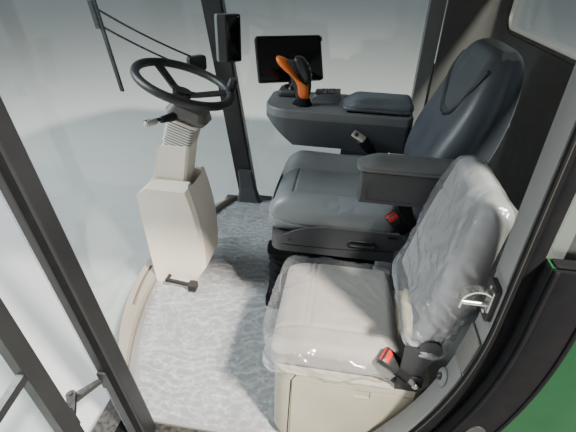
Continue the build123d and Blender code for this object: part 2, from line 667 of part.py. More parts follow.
# Lower column housing: bulging rear face, narrower foot, pocket for the tilting column
HOUSING_H = 560
HOUSING_TOP = FLOOR + HOUSING_H
HOUSING_FOOT = 104     # half width at the floor
HOUSING_STRAIGHT = 373    # from here up the sides are upright
COLLAR_DROP = 26       # bevel round the top
POCKET_R = PIVOT_R + COLUMN_CLEAR
COLUMN_LEAN = 12.5     # rear face of the column, degrees from upright
HOUSING_PROFILE = (    # from the pivot's Y and from the floor
    (124, HOUSING_H), (-32, HOUSING_H), (-104, HOUSING_H - 60), (-92, 0), (103, 0), (103, 25), (170, 120))
pocket_lean = radians(COLUMN_LEAN + TILT_BACK)
pocket_high = HOUSING_TOP + 10
pocket_rear = PIVOT_Y + POCKET_R / cos(pocket_lean) + (pocket_high - PIVOT_Z) * tan(pocket_lean)
housing_side = [(PIVOT_Y + across, FLOOR + up) for across, up in HOUSING_PROFILE]
housing_bulge = (PIVOT_Y + 168, FLOOR + HOUSING_H - 230)
with BuildPart() as column_housing:
    with BuildSketch(Plane.YZ.offset(-HOUSING_HALF)):
        with BuildLine():
            Polyline(*housing_side)
            ThreePointArc(housing_side[-1], housing_bulge, housing_side[0])
        make_face()
    extrude(amount=2 * HOUSING_HALF)
    with BuildSketch(Plane.XZ.offset(-PIVOT_Y - GLASS_R / 4)):
        with BuildLine():
            Polyline((0, FLOOR), (HOUSING_FOOT, FLOOR), (HOUSING_HALF, FLOOR + HOUSING_STRAIGHT),
                     (HOUSING_HALF, HOUSING_TOP - COLLAR_DROP), (HOUSING_HALF - COLLAR_DROP, HOUSING_TOP),
                     (0, HOUSING_TOP), (0, FLOOR))
        make_face()
        mirror(about=Plane.YZ)
    extrude(amount=GLASS_R / 2, mode=Mode.INTERSECT)
    bulge_edges = column_housing.edges().filter_by(GeomType.CIRCLE) + column_housing.edges().filter_by(
        GeomType.BSPLINE) + column_housing.edges().filter_by(GeomType.ELLIPSE)
    chamfer(bulge_edges.sort_by(SortBy.LENGTH)[-2:], 16)
    with BuildSketch(Plane.YZ.offset(-COLUMN_HALF - COLUMN_CLEAR)):
        with Locations((PIVOT_Y, PIVOT_Z)):
            Circle(POCKET_R)
        with BuildLine():
            Polyline((PIVOT_Y - POCKET_R, PIVOT_Z), (PIVOT_Y - POCKET_R, pocket_high),
                     (pocket_rear, pocket_high),
                     (PIVOT_Y + POCKET_R * cos(pocket_lean), PIVOT_Z - POCKET_R * sin(pocket_lean)),
                     (PIVOT_Y - POCKET_R, PIVOT_Z))
        make_face()
    extrude(amount=2 * (COLUMN_HALF + COLUMN_CLEAR), mode=Mode.SUBTRACT)
    for pin_start in (-COLUMN_HALF - COLUMN_CLEAR, COLUMN_HALF - TILT_PIN_L):
        with BuildSketch(Plane.YZ.offset(pin_start)):
            with Locations((PIVOT_Y, PIVOT_Z)):
                Circle(TILT_PIN_R)
        extrude(amount=COLUMN_CLEAR + TILT_PIN_L)
column_housing.part.label = "column_housing"
export_step(column_housing.part, "parts/column_housing.step")

# Tilting column: shroud, pleated boot and switch head, on the wheel's axis
WHEEL_DIR = Vector(0, sin(radians(WHEEL_TILT)), cos(radians(WHEEL_TILT)))
WHEEL_PLANE = Plane(origin=(0, WHEEL_Y, WHEEL_Z), x_dir=(1, 0, 0), z_dir=WHEEL_DIR)
SHROUD_TOP = FLOOR + 715
SHROUD_PROFILE = (     # across from the pivot, height
    (-PIVOT_R, PIVOT_Z), (-4, SHROUD_TOP - 14), (8, SHROUD_TOP), (130, SHROUD_TOP), (PIVOT_R, PIVOT_Z))
with BuildPart() as column_shroud:
    with BuildSketch(Plane.YZ.offset(-COLUMN_HALF)):
        with Locations((PIVOT_Y, PIVOT_Z)):
            Circle(PIVOT_R)
        with BuildLine():
            Polyline(*[(PIVOT_Y + across, up) for across, up in SHROUD_PROFILE], close=True)
        make_face()
    extrude(amount=2 * COLUMN_HALF)
    long_edges = column_shroud.edges().filter_by(GeomType.LINE).group_by(SortBy.LENGTH)[-1]
    chamfer(long_edges, 10)
    for bore_start in (-COLUMN_HALF, COLUMN_HALF - TILT_PIN_L - 2):
        with BuildSketch(Plane.YZ.offset(bore_start)):
            with Locations((PIVOT_Y, PIVOT_Z)):
                Circle(TILT_PIN_R + PIN_GAP)
        extrude(amount=TILT_PIN_L + 2, mode=Mode.SUBTRACT)
column_shroud.part.label = "column_shroud"
export_step(column_shroud.part, "parts/column_shroud.step")

PLEATS = 8
PLEAT_H = 11.5
PLEAT_DEPTH = 5
BOOT_W = 114
BOOT_D = 124
BOOT_FOOT = Vector(0, WHEEL_Y - 48, SHROUD_TOP)
BOOT_L = PLEATS * PLEAT_H
with BuildPart() as column_boot:
    for pleat in range(PLEATS):
        for level, inset in ((0, PLEAT_DEPTH), (0.5, 0), (1, PLEAT_DEPTH)):
            pleat_foot = BOOT_FOOT + WHEEL_DIR * ((pleat + level) * PLEAT_H)
            with BuildSketch(Plane(origin=pleat_foot, x_dir=(1, 0, 0), z_dir=WHEEL_DIR)):
                RectangleRounded(BOOT_W - 2 * inset, BOOT_D - 2 * inset, 16)
        loft(ruled=True)
    with BuildSketch(Plane(origin=BOOT_FOOT - WHEEL_DIR * BOOT_D / 2, x_dir=(1, 0, 0), z_dir=WHEEL_DIR)):
        RectangleRounded(BOOT_W - 2 * PLEAT_DEPTH, BOOT_D - 2 * PLEAT_DEPTH, 16)
    extrude(amount=BOOT_D / 2)
    split(bisect_by=Plane.XY.offset(SHROUD_TOP + BOND), keep=Keep.TOP)
column_boot.part.label = "column_boot"
export_step(column_boot.part, "parts/column_boot.step")

COLLAR_H = 18
collar_foot = BOOT_FOOT + WHEEL_DIR * (BOOT_L + BOND)
with BuildPart() as column_collar:
    for level, inset in ((0, 10), (0.35, 0), (1, 2)):
        with BuildSketch(Plane(origin=collar_foot + WHEEL_DIR * (level * COLLAR_H), x_dir=(1, 0, 0),
                               z_dir=WHEEL_DIR)):
            RectangleRounded(BOOT_W + 4 - 2 * inset, BOOT_D + 16 - 2 * inset, 20)
    loft(ruled=True)
column_collar.part.label = "column_collar"
export_step(column_collar.part, "parts/column_collar.step")

HEAD_H = 54
HEAD_HALF = 62
STALK_R = 7
HEAD_FORE = 10
HEAD_ROWS = ((0, 0, 14, 26), (0.45, 0, 0, 36), (1, 0, 14, 30))   # level, shift, inset, corner
head_foot = collar_foot + WHEEL_DIR * (COLLAR_H + BOND)
HEAD_PLANE = Plane(origin=head_foot, x_dir=(1, 0, 0), z_dir=WHEEL_DIR)
with BuildPart() as column_head:
    for level, shift, inset, corner_r in HEAD_ROWS:
        with BuildSketch(HEAD_PLANE.offset(level * HEAD_H)):
            with Locations((0, HEAD_FORE + shift)):
                RectangleRounded(2 * (HEAD_HALF - inset), 176 - 2 * inset, corner_r)
    loft(ruled=True)
column_head.part.label = "column_head"
export_step(column_head.part, "parts/column_head.step")

STALK_L = 150
stalk_root = head_foot + Vector(HEAD_HALF - 12, -30, 0) + WHEEL_DIR * (HEAD_H / 2)
STALK_DIR = Vector(1, -0.42, 0.08).normalized()
with BuildPart() as column_stalk:
    with BuildSketch(Plane(origin=stalk_root + STALK_DIR * 14, z_dir=STALK_DIR)):
        Circle(STALK_R)
    extrude(amount=STALK_L - 40)
    with BuildSketch(Plane(origin=stalk_root + STALK_DIR * (STALK_L - 26), z_dir=STALK_DIR)):
        Circle(STALK_R + 3)
    extrude(amount=28)
column_stalk.part.label = "column_stalk"
export_step(column_stalk.part, "parts/column_stalk.step")

# Steering wheel: dished hub, three spokes and a spinner knob over the rear right one
HUB_R = 40
HUB_DROP = 34          # hub face below the plane of the rim
HUB_H = 24
SPOKE_W = 34
SPOKE_T = 11
SPOKE_ANGLES = (0, 120, 240)
KNOB_ANGLE = 120
KNOB_R = 21
KNOB_H = 34
CLAMP_R = RIM_R + 4
CLAMP_H = RIM_R + 8
SHAFT_R = 19
wheel_to_head = (WHEEL_PLANE.origin - head_foot).dot(WHEEL_DIR) - HEAD_H
SPOKE_PROFILE = (      # outwards from the axis, above the plane of the rim
    (HUB_R - 12, -HUB_DROP - SPOKE_T - 4), (HUB_R + 12, -HUB_DROP - SPOKE_T), (WHEEL_R - 22, -SPOKE_T),
    (WHEEL_R - 4, -4), (WHEEL_R - 4, 5), (WHEEL_R - 26, 0), (HUB_R + 16, -HUB_DROP), (HUB_R - 12, -HUB_DROP))
SPINNER_ROWS = ((0, CLAMP_R, CLAMP_H, 0), (CLAMP_H, 8, 8, 0), (CLAMP_H + 6, KNOB_R, KNOB_H, 6))
with BuildPart() as steering_wheel:
    with BuildSketch(Plane(origin=WHEEL_PLANE.origin, x_dir=(1, 0, 0),
                           z_dir=(0, -cos(radians(WHEEL_TILT)), sin(radians(WHEEL_TILT))))):
        with Locations((WHEEL_R, 0)):
            Circle(RIM_R)
    revolve(axis=Axis(WHEEL_PLANE.origin, WHEEL_DIR))
    for level, radius in ((-HUB_DROP - HUB_H, HUB_R - 6), (-HUB_DROP - HUB_H / 2, HUB_R)):
        with BuildSketch(WHEEL_PLANE.offset(level)):
            Circle(radius)
        extrude(amount=HUB_H / 2)
    with BuildSketch(WHEEL_PLANE.offset(-HUB_DROP)):
        Circle(HUB_R - 8)
    extrude(amount=5)
    for angle in SPOKE_ANGLES:
        outwards = WHEEL_PLANE.x_dir * cos(radians(angle)) + WHEEL_PLANE.y_dir * sin(radians(angle))
        with BuildSketch(Plane(origin=WHEEL_PLANE.origin, x_dir=outwards, z_dir=outwards.cross(WHEEL_DIR))):
            with BuildLine():
                Polyline(*SPOKE_PROFILE, close=True)
            make_face()
        extrude(amount=SPOKE_W / 2, both=True)
    with BuildSketch(WHEEL_PLANE.offset(-wheel_to_head + BOND)):
        Circle(SHAFT_R)
    extrude(amount=wheel_to_head - BOND - HUB_DROP - HUB_H / 2)
    knob_spot = (WHEEL_R * cos(radians(KNOB_ANGLE)), WHEEL_R * sin(radians(KNOB_ANGLE)))
    for level, radius, high, slope in SPINNER_ROWS:
        with BuildSketch(WHEEL_PLANE.offset(level)):
            with Locations(knob_spot):
                Circle(radius)
        extrude(amount=high, taper=slope)
steering_wheel.part.label = "steering_wheel"
export_step(steering_wheel.part, "parts/steering_wheel.step")

# Pedals beside the column
PEDAL_Y = PIVOT_Y + 8
with BuildPart() as brake_pedals:
    with BuildSketch(Plane.XY.offset(FLOOR)):
        with Locations((-210, -640)):
            Rectangle(150, 70)
    extrude(amount=8)
    for pedal_x in (-248, -172):
        with BuildSketch(Plane.YZ.offset(pedal_x - 9)):
            with BuildLine():
                Polyline((PEDAL_Y - 80, FLOOR), (PEDAL_Y - 50, FLOOR), (PEDAL_Y + 10, FLOOR + 134),
                         (PEDAL_Y - 6, FLOOR + 146), (PEDAL_Y - 80, FLOOR))
            make_face()
        extrude(amount=18)
        with BuildSketch(Plane(origin=(pedal_x, PEDAL_Y, FLOOR + 140), x_dir=(1, 0, 0), z_dir=(0, 0.8, 0.6))):
            RectangleRounded(66, 90, 10)
        extrude(amount=12)
brake_pedals.part.label = "brake_pedals"
export_step(brake_pedals.part, "parts/brake_pedals.step")

RELEASE_Y = PIVOT_Y - 17
RELEASE_UP = 50
RELEASE_R = 9
release_x = HOUSING_FOOT + (HOUSING_HALF - HOUSING_FOOT) * (RELEASE_UP + RELEASE_R) / HOUSING_STRAIGHT + BOND
with BuildPart() as release_pedal:
    with BuildSketch(Plane.YZ.offset(release_x)):
        with Locations((RELEASE_Y, FLOOR + RELEASE_UP)):
            Circle(RELEASE_R)
    extrude(amount=HOUSING_HALF + 26 - release_x)
    with BuildSketch(Plane.YZ.offset(HOUSING_HALF + 12)):
        with BuildLine():
            Polyline((RELEASE_Y - 7, FLOOR + 42), (RELEASE_Y + 125, FLOOR + 28), (RELEASE_Y + 125, FLOOR + 42),
                     (RELEASE_Y - 7, FLOOR + 58), (RELEASE_Y - 7, FLOOR + 42))
        make_face()
    extrude(amount=14)
    with BuildSketch(Plane.XY.offset(FLOOR + 20)):
        with Locations((HOUSING_HALF + 24, RELEASE_Y + 130)):
            RectangleRounded(46, 40, 8)
    extrude(amount=32)
release_pedal.part.label = "release_pedal"
export_step(release_pedal.part, "parts/release_pedal.step")

# Screen on the right front post
SCREEN_UP = 1010
SIDE_SCREEN = Vector(POST_W + 65 - HALF_W, POST_REAR - 122, FLOOR + SCREEN_UP)
SIDE_SCREEN_DIR = Vector(0.82, 0.57, 0).normalized()
with BuildPart() as corner_display:
    with BuildSketch(Plane(origin=SIDE_SCREEN - SIDE_SCREEN_DIR * 42, x_dir=(0.57, -0.82, 0),
                           z_dir=SIDE_SCREEN_DIR)):
        RectangleRounded(128, 240, 10)
    extrude(amount=42)
    with BuildSketch(Plane.YZ.offset(-HALF_W + POST_W)):
        with Locations((SIDE_SCREEN.Y - 60, FLOOR + SCREEN_UP)):
            Circle(14)
    extrude(amount=50)
corner_display.part.label = "corner_display"
export_step(corner_display.part, "parts/corner_display.step")

# Operator's seat: suspension, slides, pan, cushion
SUSP_HALF = 180
SUSP_FRONT = -125
SUSP_REAR = 330
SUSP_MID = (SUSP_FRONT + SUSP_REAR) / 2
BELLOWS_LOW = FLOOR + 45
BELLOWS_HIGH = FLOOR + 290
BELLOWS_PLEATS = 5
RAIL_TOP = FLOOR + 345
SLIDE_X = 150
with BuildPart() as seat_suspension:
    with BuildSketch(Plane.XY.offset(FLOOR)):
        with Locations((0, SUSP_MID)):
            RectangleRounded(2 * SUSP_HALF + 20, SUSP_REAR - SUSP_FRONT + 20, 30)
    extrude(amount=BELLOWS_LOW - FLOOR)
    pleat_rise = (BELLOWS_HIGH - BELLOWS_LOW) / BELLOWS_PLEATS
    for pleat in range(BELLOWS_PLEATS):
        pleat_z = BELLOWS_LOW + pleat * pleat_rise
        for level, inset in ((0, 16), (0.5, 0), (1, 16)):
            with BuildSketch(Plane.XY.offset(pleat_z + level * pleat_rise)):
                with Locations((0, SUSP_MID)):
                    RectangleRounded(2 * (SUSP_HALF - inset), SUSP_REAR - SUSP_FRONT - 2 * inset, 40)
        loft(ruled=True)
    with BuildSketch(Plane.XY.offset(BELLOWS_HIGH)):
        with Locations((0, SUSP_MID)):
            RectangleRounded(2 * SUSP_HALF, SUSP_REAR - SUSP_FRONT, 30)
    extrude(amount=18)
    with BuildSketch(Plane.XY.offset(BELLOWS_HIGH + 18)):
        with Locations((-SLIDE_X, SUSP_MID), (SLIDE_X, SUSP_MID)):
            Rectangle(46, SUSP_REAR - SUSP_FRONT)
    extrude(amount=RAIL_TOP - BELLOWS_HIGH - 18)
seat_suspension.part.label = "seat_suspension"
export_step(seat_suspension.part, "parts/seat_suspension.step")

TABLE_R = 130
SLIDE_T = 22
PAN_LOW = FLOOR + 405
PAN_HIGH = FLOOR + 470
SLIDE_FRONT = SEAT_Y - 300
SLIDE_REAR = SEAT_Y + 130
with BuildPart() as seat_slides:
    with BuildSketch(Plane.XY.offset(RAIL_TOP + BOND)):
        with Locations((-SLIDE_X, (SLIDE_FRONT + SLIDE_REAR) / 2), (SLIDE_X, (SLIDE_FRONT + SLIDE_REAR) / 2)):
            Rectangle(40, SLIDE_REAR - SLIDE_FRONT)
    extrude(amount=SLIDE_T)
    with BuildSketch(Plane.XY.offset(RAIL_TOP + BOND + 8)):
        with Locations((0, SEAT_Y)):
            Rectangle(2 * SLIDE_X, 230)
    extrude(amount=SLIDE_T - 8)
    with BuildSketch(Plane.XY.offset(RAIL_TOP + BOND + SLIDE_T)):
        with Locations((0, SEAT_Y)):
            Circle(TABLE_R)
    extrude(amount=PAN_LOW - RAIL_TOP - 2 * BOND - SLIDE_T)
seat_slides.part.label = "seat_slides"
export_step(seat_slides.part, "parts/seat_slides.step")

PAN_FRONT = -96
PAN_REAR = 545
PAN_HALF = 268
PAN_WALL = 8
EAR_T = 8
EAR_X = BACK_HALF + 6
EAR_R = 34
BACK_PIN_R = 9
BACK_PIVOT_Y = 480
BACK_PIVOT_Z = FLOOR + 560
SHIELD_X = SEAT_HALF + 2
SHIELD_PROFILE = (     # side shields: y, height over the pan
    (-50, -20), (-46, 6), (-8, 30), (50, 52), (120, 64), (400, 66), (436, 36), (440, -20))
with BuildPart() as seat_pan:
    with BuildSketch(Plane.XY.offset(PAN_LOW)):
        with Locations((0, (PAN_FRONT + PAN_REAR) / 2)):
            RectangleRounded(2 * PAN_HALF, PAN_REAR - PAN_FRONT, 45)
    extrude(amount=PAN_HIGH - PAN_LOW)
    with BuildSketch(Plane.XY.offset(PAN_LOW)):
        with Locations((0, (PAN_FRONT + PAN_REAR) / 2)):
            RectangleRounded(2 * (PAN_HALF - PAN_WALL), PAN_REAR - PAN_FRONT - 2 * PAN_WALL, 37)
        with Locations((0, SEAT_Y)):
            Circle(TABLE_R - 10, mode=Mode.SUBTRACT)
    extrude(amount=PAN_HIGH - PAN_LOW - PAN_WALL, mode=Mode.SUBTRACT)
    for shield_start in (SHIELD_X, -PAN_HALF):
        with BuildSketch(Plane.YZ.offset(shield_start)):
            with BuildLine():
                Polyline(*[(y, PAN_HIGH + up) for y, up in SHIELD_PROFILE], close=True)
            make_face()
        extrude(amount=PAN_HALF - SHIELD_X)
    for ear_start in (EAR_X, -EAR_X - EAR_T):
        with BuildSketch(Plane.YZ.offset(ear_start)):
            with Locations((BACK_PIVOT_Y, BACK_PIVOT_Z)):
                Circle(EAR_R)
            with Locations((BACK_PIVOT_Y, (BACK_PIVOT_Z + PAN_HIGH) / 2)):
                Rectangle(2 * EAR_R, BACK_PIVOT_Z - PAN_HIGH)
        extrude(amount=EAR_T)
    for pin_start in (BACK_HALF - 20, -EAR_X - EAR_T):
        with BuildSketch(Plane.YZ.offset(pin_start)):
            with Locations((BACK_PIVOT_Y, BACK_PIVOT_Z)):
                Circle(BACK_PIN_R)
        extrude(amount=EAR_X + EAR_T - BACK_HALF + 20)
seat_pan.part.label = "seat_pan"
export_step(seat_pan.part, "parts/seat_pan.step")

CUSHION_FRONT = -125
CUSHION_REAR = 385
with BuildPart() as seat_cushion:
    with BuildSketch(Plane.XZ.offset(-CUSHION_REAR)):
        with BuildLine():
            Polyline((-SEAT_HALF + 20, PAN_HIGH + BOND), (SEAT_HALF - 20, PAN_HIGH + BOND),
                     (SEAT_HALF, PAN_HIGH + 40), (SEAT_HALF - 6, PAN_HIGH + 150),
                     (SEAT_HALF - 50, PAN_HIGH + 165),
                     (SEAT_HALF - 110, PAN_HIGH + 115), (-SEAT_HALF + 110, PAN_HIGH + 115),
                     (-SEAT_HALF + 50, PAN_HIGH + 165), (-SEAT_HALF + 6, PAN_HIGH + 150),
                     (-SEAT_HALF, PAN_HIGH + 40), (-SEAT_HALF + 20, PAN_HIGH + BOND))
        make_face()
    extrude(amount=CUSHION_REAR - CUSHION_FRONT)
    with BuildSketch(Plane.YZ.offset(-SEAT_HALF - 1)):
        with BuildLine():
            Polyline((CUSHION_FRONT - 1, PAN_HIGH), (CUSHION_FRONT - 1, PAN_HIGH + 170),
                     (CUSHION_FRONT + 95, PAN_HIGH + 170))
            ThreePointArc((CUSHION_FRONT + 95, PAN_HIGH + 170), (CUSHION_FRONT + 24, PAN_HIGH + 110),
                          (CUSHION_FRONT + 8, PAN_HIGH + 40))
            Polyline((CUSHION_FRONT + 8, PAN_HIGH + 40), (CUSHION_FRONT + 28, PAN_HIGH),
                     (CUSHION_FRONT - 1, PAN_HIGH))
        make_face()
    extrude(amount=2 * SEAT_HALF + 2, mode=Mode.SUBTRACT)
seat_cushion.part.label = "seat_cushion"
export_step(seat_cushion.part, "parts/seat_cushion.step")

# Backrest: side profile with the headrest leaning forward, narrower at the top
BACK_PROFILE = (  # y, height above the floor
    (500, 520), (436, 560), (412, 640), (408, 720), (434, 829), (509, 1005), (545, 1100), (575, 1150),
    (640, 1165), (680, 1130), (690, 1050), (664, 820), (600, 700), (560, 580))
HEADREST_HALF = 195
with BuildPart() as seat_backrest:
    with BuildSketch(Plane.YZ.offset(-BACK_HALF)):
        with BuildLine():
            Polyline(*[(y, FLOOR + z) for y, z in BACK_PROFILE], close=True)
        make_face()
    extrude(amount=2 * BACK_HALF)
    with BuildSketch(Plane.XZ.offset(-BACK_PROFILE[0][0] - 250)):
        with BuildLine():
            Polyline((BACK_HALF - 10, FLOOR + 1010), (HEADREST_HALF, FLOOR + 1050),
                     (HEADREST_HALF - 15, FLOOR + 1200), (BACK_HALF + 10, FLOOR + 1200),
                     (BACK_HALF + 10, FLOOR + 960), (BACK_HALF - 10, FLOOR + 1010))
        make_face()
        mirror(about=Plane.YZ)
    extrude(amount=400, mode=Mode.SUBTRACT)
    for bore_start in (BACK_HALF - 22, -BACK_HALF):
        with BuildSketch(Plane.YZ.offset(bore_start)):
            with Locations((BACK_PIVOT_Y, BACK_PIVOT_Z)):
                Circle(BACK_PIN_R + PIN_GAP)
        extrude(amount=22, mode=Mode.SUBTRACT)
seat_backrest.part.label = "seat_backrest"
export_step(seat_backrest.part, "parts/seat_backrest.step")

# Left armrest: open storage box with a padded lid hinged at its rear
BOX_FRONT = 216
BOX_REAR = 580
BOX_LOW = FLOOR + 690
BOX_HIGH = FLOOR + 800
BOX_WALL = 4
LID_T = 44
LID_PIN_R = 4
LID_PIN_Y = BOX_REAR - 12
LID_PIN_Z = BOX_HIGH + 9
ARM_MID = ARM_NEAR + ARM_W / 2
with BuildPart() as armrest_box:
    with BuildSketch(Plane.XY.offset(BOX_LOW)):
        with Locations((ARM_MID, (BOX_FRONT + BOX_REAR) / 2)):
            RectangleRounded(ARM_W, BOX_REAR - BOX_FRONT, 10)
    extrude(amount=BOX_HIGH - BOX_LOW)
    with BuildSketch(Plane.XY.offset(BOX_HIGH)):
        with Locations((ARM_MID, (BOX_FRONT + BOX_REAR) / 2 - 10)):
            RectangleRounded(ARM_W - 2 * BOX_WALL, BOX_REAR - BOX_FRONT - 2 * BOX_WALL - 20, 7)
    extrude(amount=BOX_LOW + BOX_WALL - BOX_HIGH, mode=Mode.SUBTRACT)
    with BuildSketch(Plane.YZ.offset(ARM_NEAR + ARM_W)):
        with Locations(((BOX_FRONT + BOX_REAR) / 2 - 30, (BOX_LOW + BOX_HIGH) / 2 - 8)):
            RectangleRounded(BOX_REAR - BOX_FRONT - 110, BOX_HIGH - BOX_LOW - 40, 10)
    extrude(amount=-2, mode=Mode.SUBTRACT)
    with BuildSketch(Plane.YZ.offset(ARM_NEAR)):
        with BuildLine():
            Polyline((BACK_PIVOT_Y - 20, PAN_HIGH - 30), (BACK_PIVOT_Y + 40, PAN_HIGH - 30),
                     (BACK_PIVOT_Y + 60, BOX_LOW),
                     (BACK_PIVOT_Y - 20, BOX_LOW), (BACK_PIVOT_Y - 20, PAN_HIGH - 30))
        make_face()
    extrude(amount=PAN_HALF - ARM_NEAR + 14)
    with BuildSketch(Plane.XY.offset(PAN_LOW - 5)):
        with Locations((0, (PAN_FRONT + PAN_REAR) / 2)):
            RectangleRounded(2 * PAN_HALF, PAN_REAR - PAN_FRONT, 45)
    extrude(amount=PAN_HIGH - PAN_LOW + 5, mode=Mode.SUBTRACT)
    for lug_x in (ARM_NEAR + 4, ARM_NEAR + ARM_W - 12):
        with BuildSketch(Plane.YZ.offset(lug_x)):
            with Locations((LID_PIN_Y, LID_PIN_Z)):
                Circle(7)
            with Locations((LID_PIN_Y, (LID_PIN_Z + BOX_HIGH) / 2)):
                Rectangle(14, LID_PIN_Z - BOX_HIGH)
        extrude(amount=8)
    with BuildSketch(Plane.YZ.offset(ARM_NEAR + 4)):
        with Locations((LID_PIN_Y, LID_PIN_Z)):
            Circle(LID_PIN_R)
    extrude(amount=ARM_W - 8)
armrest_box.part.label = "armrest_box"
export_step(armrest_box.part, "parts/armrest_box.step")

LID_REAR = LID_PIN_Y - 12
with BuildPart() as armrest_lid:
    with BuildSketch(Plane.XY.offset(BOX_HIGH + BOND)):
        with Locations((ARM_MID, (BOX_FRONT - 12 + LID_REAR) / 2)):
            RectangleRounded(ARM_W + 4, LID_REAR - BOX_FRONT + 12, 14)
    extrude(amount=LID_T)
    fillet(armrest_lid.faces().sort_by(Axis.Z)[-1].edges(), 12)
    with BuildSketch(Plane.YZ.offset(ARM_MID - 15)):
        with Locations((LID_PIN_Y, LID_PIN_Z)):
            Circle(7.5)
        with Locations((LID_REAR + 4, LID_PIN_Z)):
            Rectangle(12, 10)
        with Locations((LID_PIN_Y, LID_PIN_Z)):
            Circle(LID_PIN_R + PIN_GAP, mode=Mode.SUBTRACT)
    extrude(amount=30)
armrest_lid.part.label = "armrest_lid"
export_step(armrest_lid.part, "parts/armrest_lid.step")

# Right console: rounded front, tapered underside, well under a padded lid
CONSOLE_FRONT = -240
CONSOLE_REAR = 450
CONSOLE_HIGH = FLOOR + 800
CONSOLE_LOW = FLOOR + 630
CONSOLE_LEG = 70
PAD_NEAR = -284
PAD_W = 176
PAD_FRONT = 130
PAD_REAR = 418
PAD_T = 58
PAD_PIN_Y = CONSOLE_REAR - 16
PAD_PIN_Z = CONSOLE_HIGH + 9
PAD_MID = PAD_NEAR - PAD_W / 2
CONSOLE_MID = (CONSOLE_NEAR + CONSOLE_FAR) / 2
POD_SIDE = 50          # key pod from the console's far side
POD_W = 110
POD_PROFILE = ((-24, -12), (-24, 10), (14, 32), (108, 38), (112, -12))   # y, height over the console
with BuildPart() as console:
    with BuildSketch(Plane.XY.offset(CONSOLE_LOW)) as console_plan:
        with Locations((CONSOLE_MID, (CONSOLE_FRONT + CONSOLE_REAR) / 2)):
            Rectangle(CONSOLE_NEAR - CONSOLE_FAR, CONSOLE_REAR - CONSOLE_FRONT)
        fillet(console_plan.vertices().group_by(Axis.Y)[0].sort_by(Axis.X)[-1], 120)
        fillet(console_plan.vertices().group_by(Axis.Y)[0].sort_by(Axis.X)[0], 60)
        fillet(console_plan.vertices().group_by(Axis.Y)[-1], 30)
    extrude(amount=CONSOLE_HIGH - CONSOLE_LOW)
    fillet(console.faces().sort_by(Axis.Z)[-1].edges(), 10)
    with BuildSketch(Plane.YZ.offset(CONSOLE_FAR - 1)):
        with BuildLine():
            Polyline((CONSOLE_FRONT - 1, CONSOLE_LOW - 1), (CONSOLE_FRONT - 1, CONSOLE_HIGH - 60),
                     (CONSOLE_FRONT + 20, CONSOLE_HIGH - 64), (CONSOLE_FRONT + 150, CONSOLE_LOW - 1),
                     (CONSOLE_FRONT - 1, CONSOLE_LOW - 1))
        make_face()
    extrude(amount=CONSOLE_NEAR - CONSOLE_FAR + 2, mode=Mode.SUBTRACT)
    with BuildSketch(Plane.XY.offset(CONSOLE_HIGH)):
        with Locations((PAD_MID, (PAD_FRONT + PAD_REAR) / 2)):
            RectangleRounded(PAD_W - 20, PAD_REAR - PAD_FRONT - 40, 12)
    extrude(amount=-110, mode=Mode.SUBTRACT)
    with BuildSketch(Plane.YZ.offset(CONSOLE_FAR + POD_SIDE)):
        with BuildLine():
            Polyline(*[(y, CONSOLE_HIGH + up) for y, up in POD_PROFILE], close=True)
        make_face()
    extrude(amount=POD_W)
    with BuildSketch(Plane.XY.offset(PAN_LOW + 10)):
        with Locations((-PAN_HALF - BOND - CONSOLE_LEG / 2, SEAT_Y)):
            Rectangle(CONSOLE_LEG, 220)
    extrude(amount=CONSOLE_LOW - PAN_LOW - 10)
    for lug_x in (PAD_MID - PAD_W / 2 + 6, PAD_MID + PAD_W / 2 - 18):
        with BuildSketch(Plane.YZ.offset(lug_x)):
            with Locations((PAD_PIN_Y, PAD_PIN_Z)):
                Circle(8)
            with Locations((PAD_PIN_Y, (PAD_PIN_Z + CONSOLE_HIGH) / 2)):
                Rectangle(16, PAD_PIN_Z - CONSOLE_HIGH)
        extrude(amount=12)
    with BuildSketch(Plane.YZ.offset(PAD_MID - PAD_W / 2 + 6)):
        with Locations((PAD_PIN_Y, PAD_PIN_Z)):
            Circle(LID_PIN_R)
    extrude(amount=PAD_W - 12)
console.part.label = "console"
export_step(console.part, "parts/console.step")

with BuildPart() as console_lid:
    with BuildSketch(Plane.XY.offset(CONSOLE_HIGH + BOND)):
        with Locations((PAD_MID, (PAD_FRONT + PAD_REAR) / 2)):
            RectangleRounded(PAD_W, PAD_REAR - PAD_FRONT, 26)
    extrude(amount=PAD_T)
    fillet(console_lid.faces().sort_by(Axis.Z)[-1].edges(), 18)
    with BuildSketch(Plane.YZ.offset(PAD_MID - 50)):
        with Locations((PAD_PIN_Y, PAD_PIN_Z)):
            Circle(7.5)
        with Locations(((PAD_REAR + PAD_PIN_Y) / 2 - 4, PAD_PIN_Z)):
            Rectangle(PAD_PIN_Y - PAD_REAR + 6, 10)
        with Locations((PAD_PIN_Y, PAD_PIN_Z)):
            Circle(LID_PIN_R + PIN_GAP, mode=Mode.SUBTRACT)
    extrude(amount=100)
console_lid.part.label = "console_lid"
export_step(console_lid.part, "parts/console_lid.step")

STICK_X = -360
STICK_Y = -63
with BuildPart() as joystick:
    for height, side, depth, shift in ((0, 84, 96, 0), (26, 44, 52, -6), (60, 34, 42, -16), (120, 36, 50, -34),
                                       (150, 46, 66, -44), (196, 50, 72, -58)):
        with BuildSketch(Plane.XY.offset(CONSOLE_HIGH + BOND + height)):
            with Locations((STICK_X, STICK_Y + shift)):
                Ellipse(side / 2, depth / 2)
    loft(ruled=True)
joystick.part.label = "joystick"
export_step(joystick.part, "parts/joystick.step")

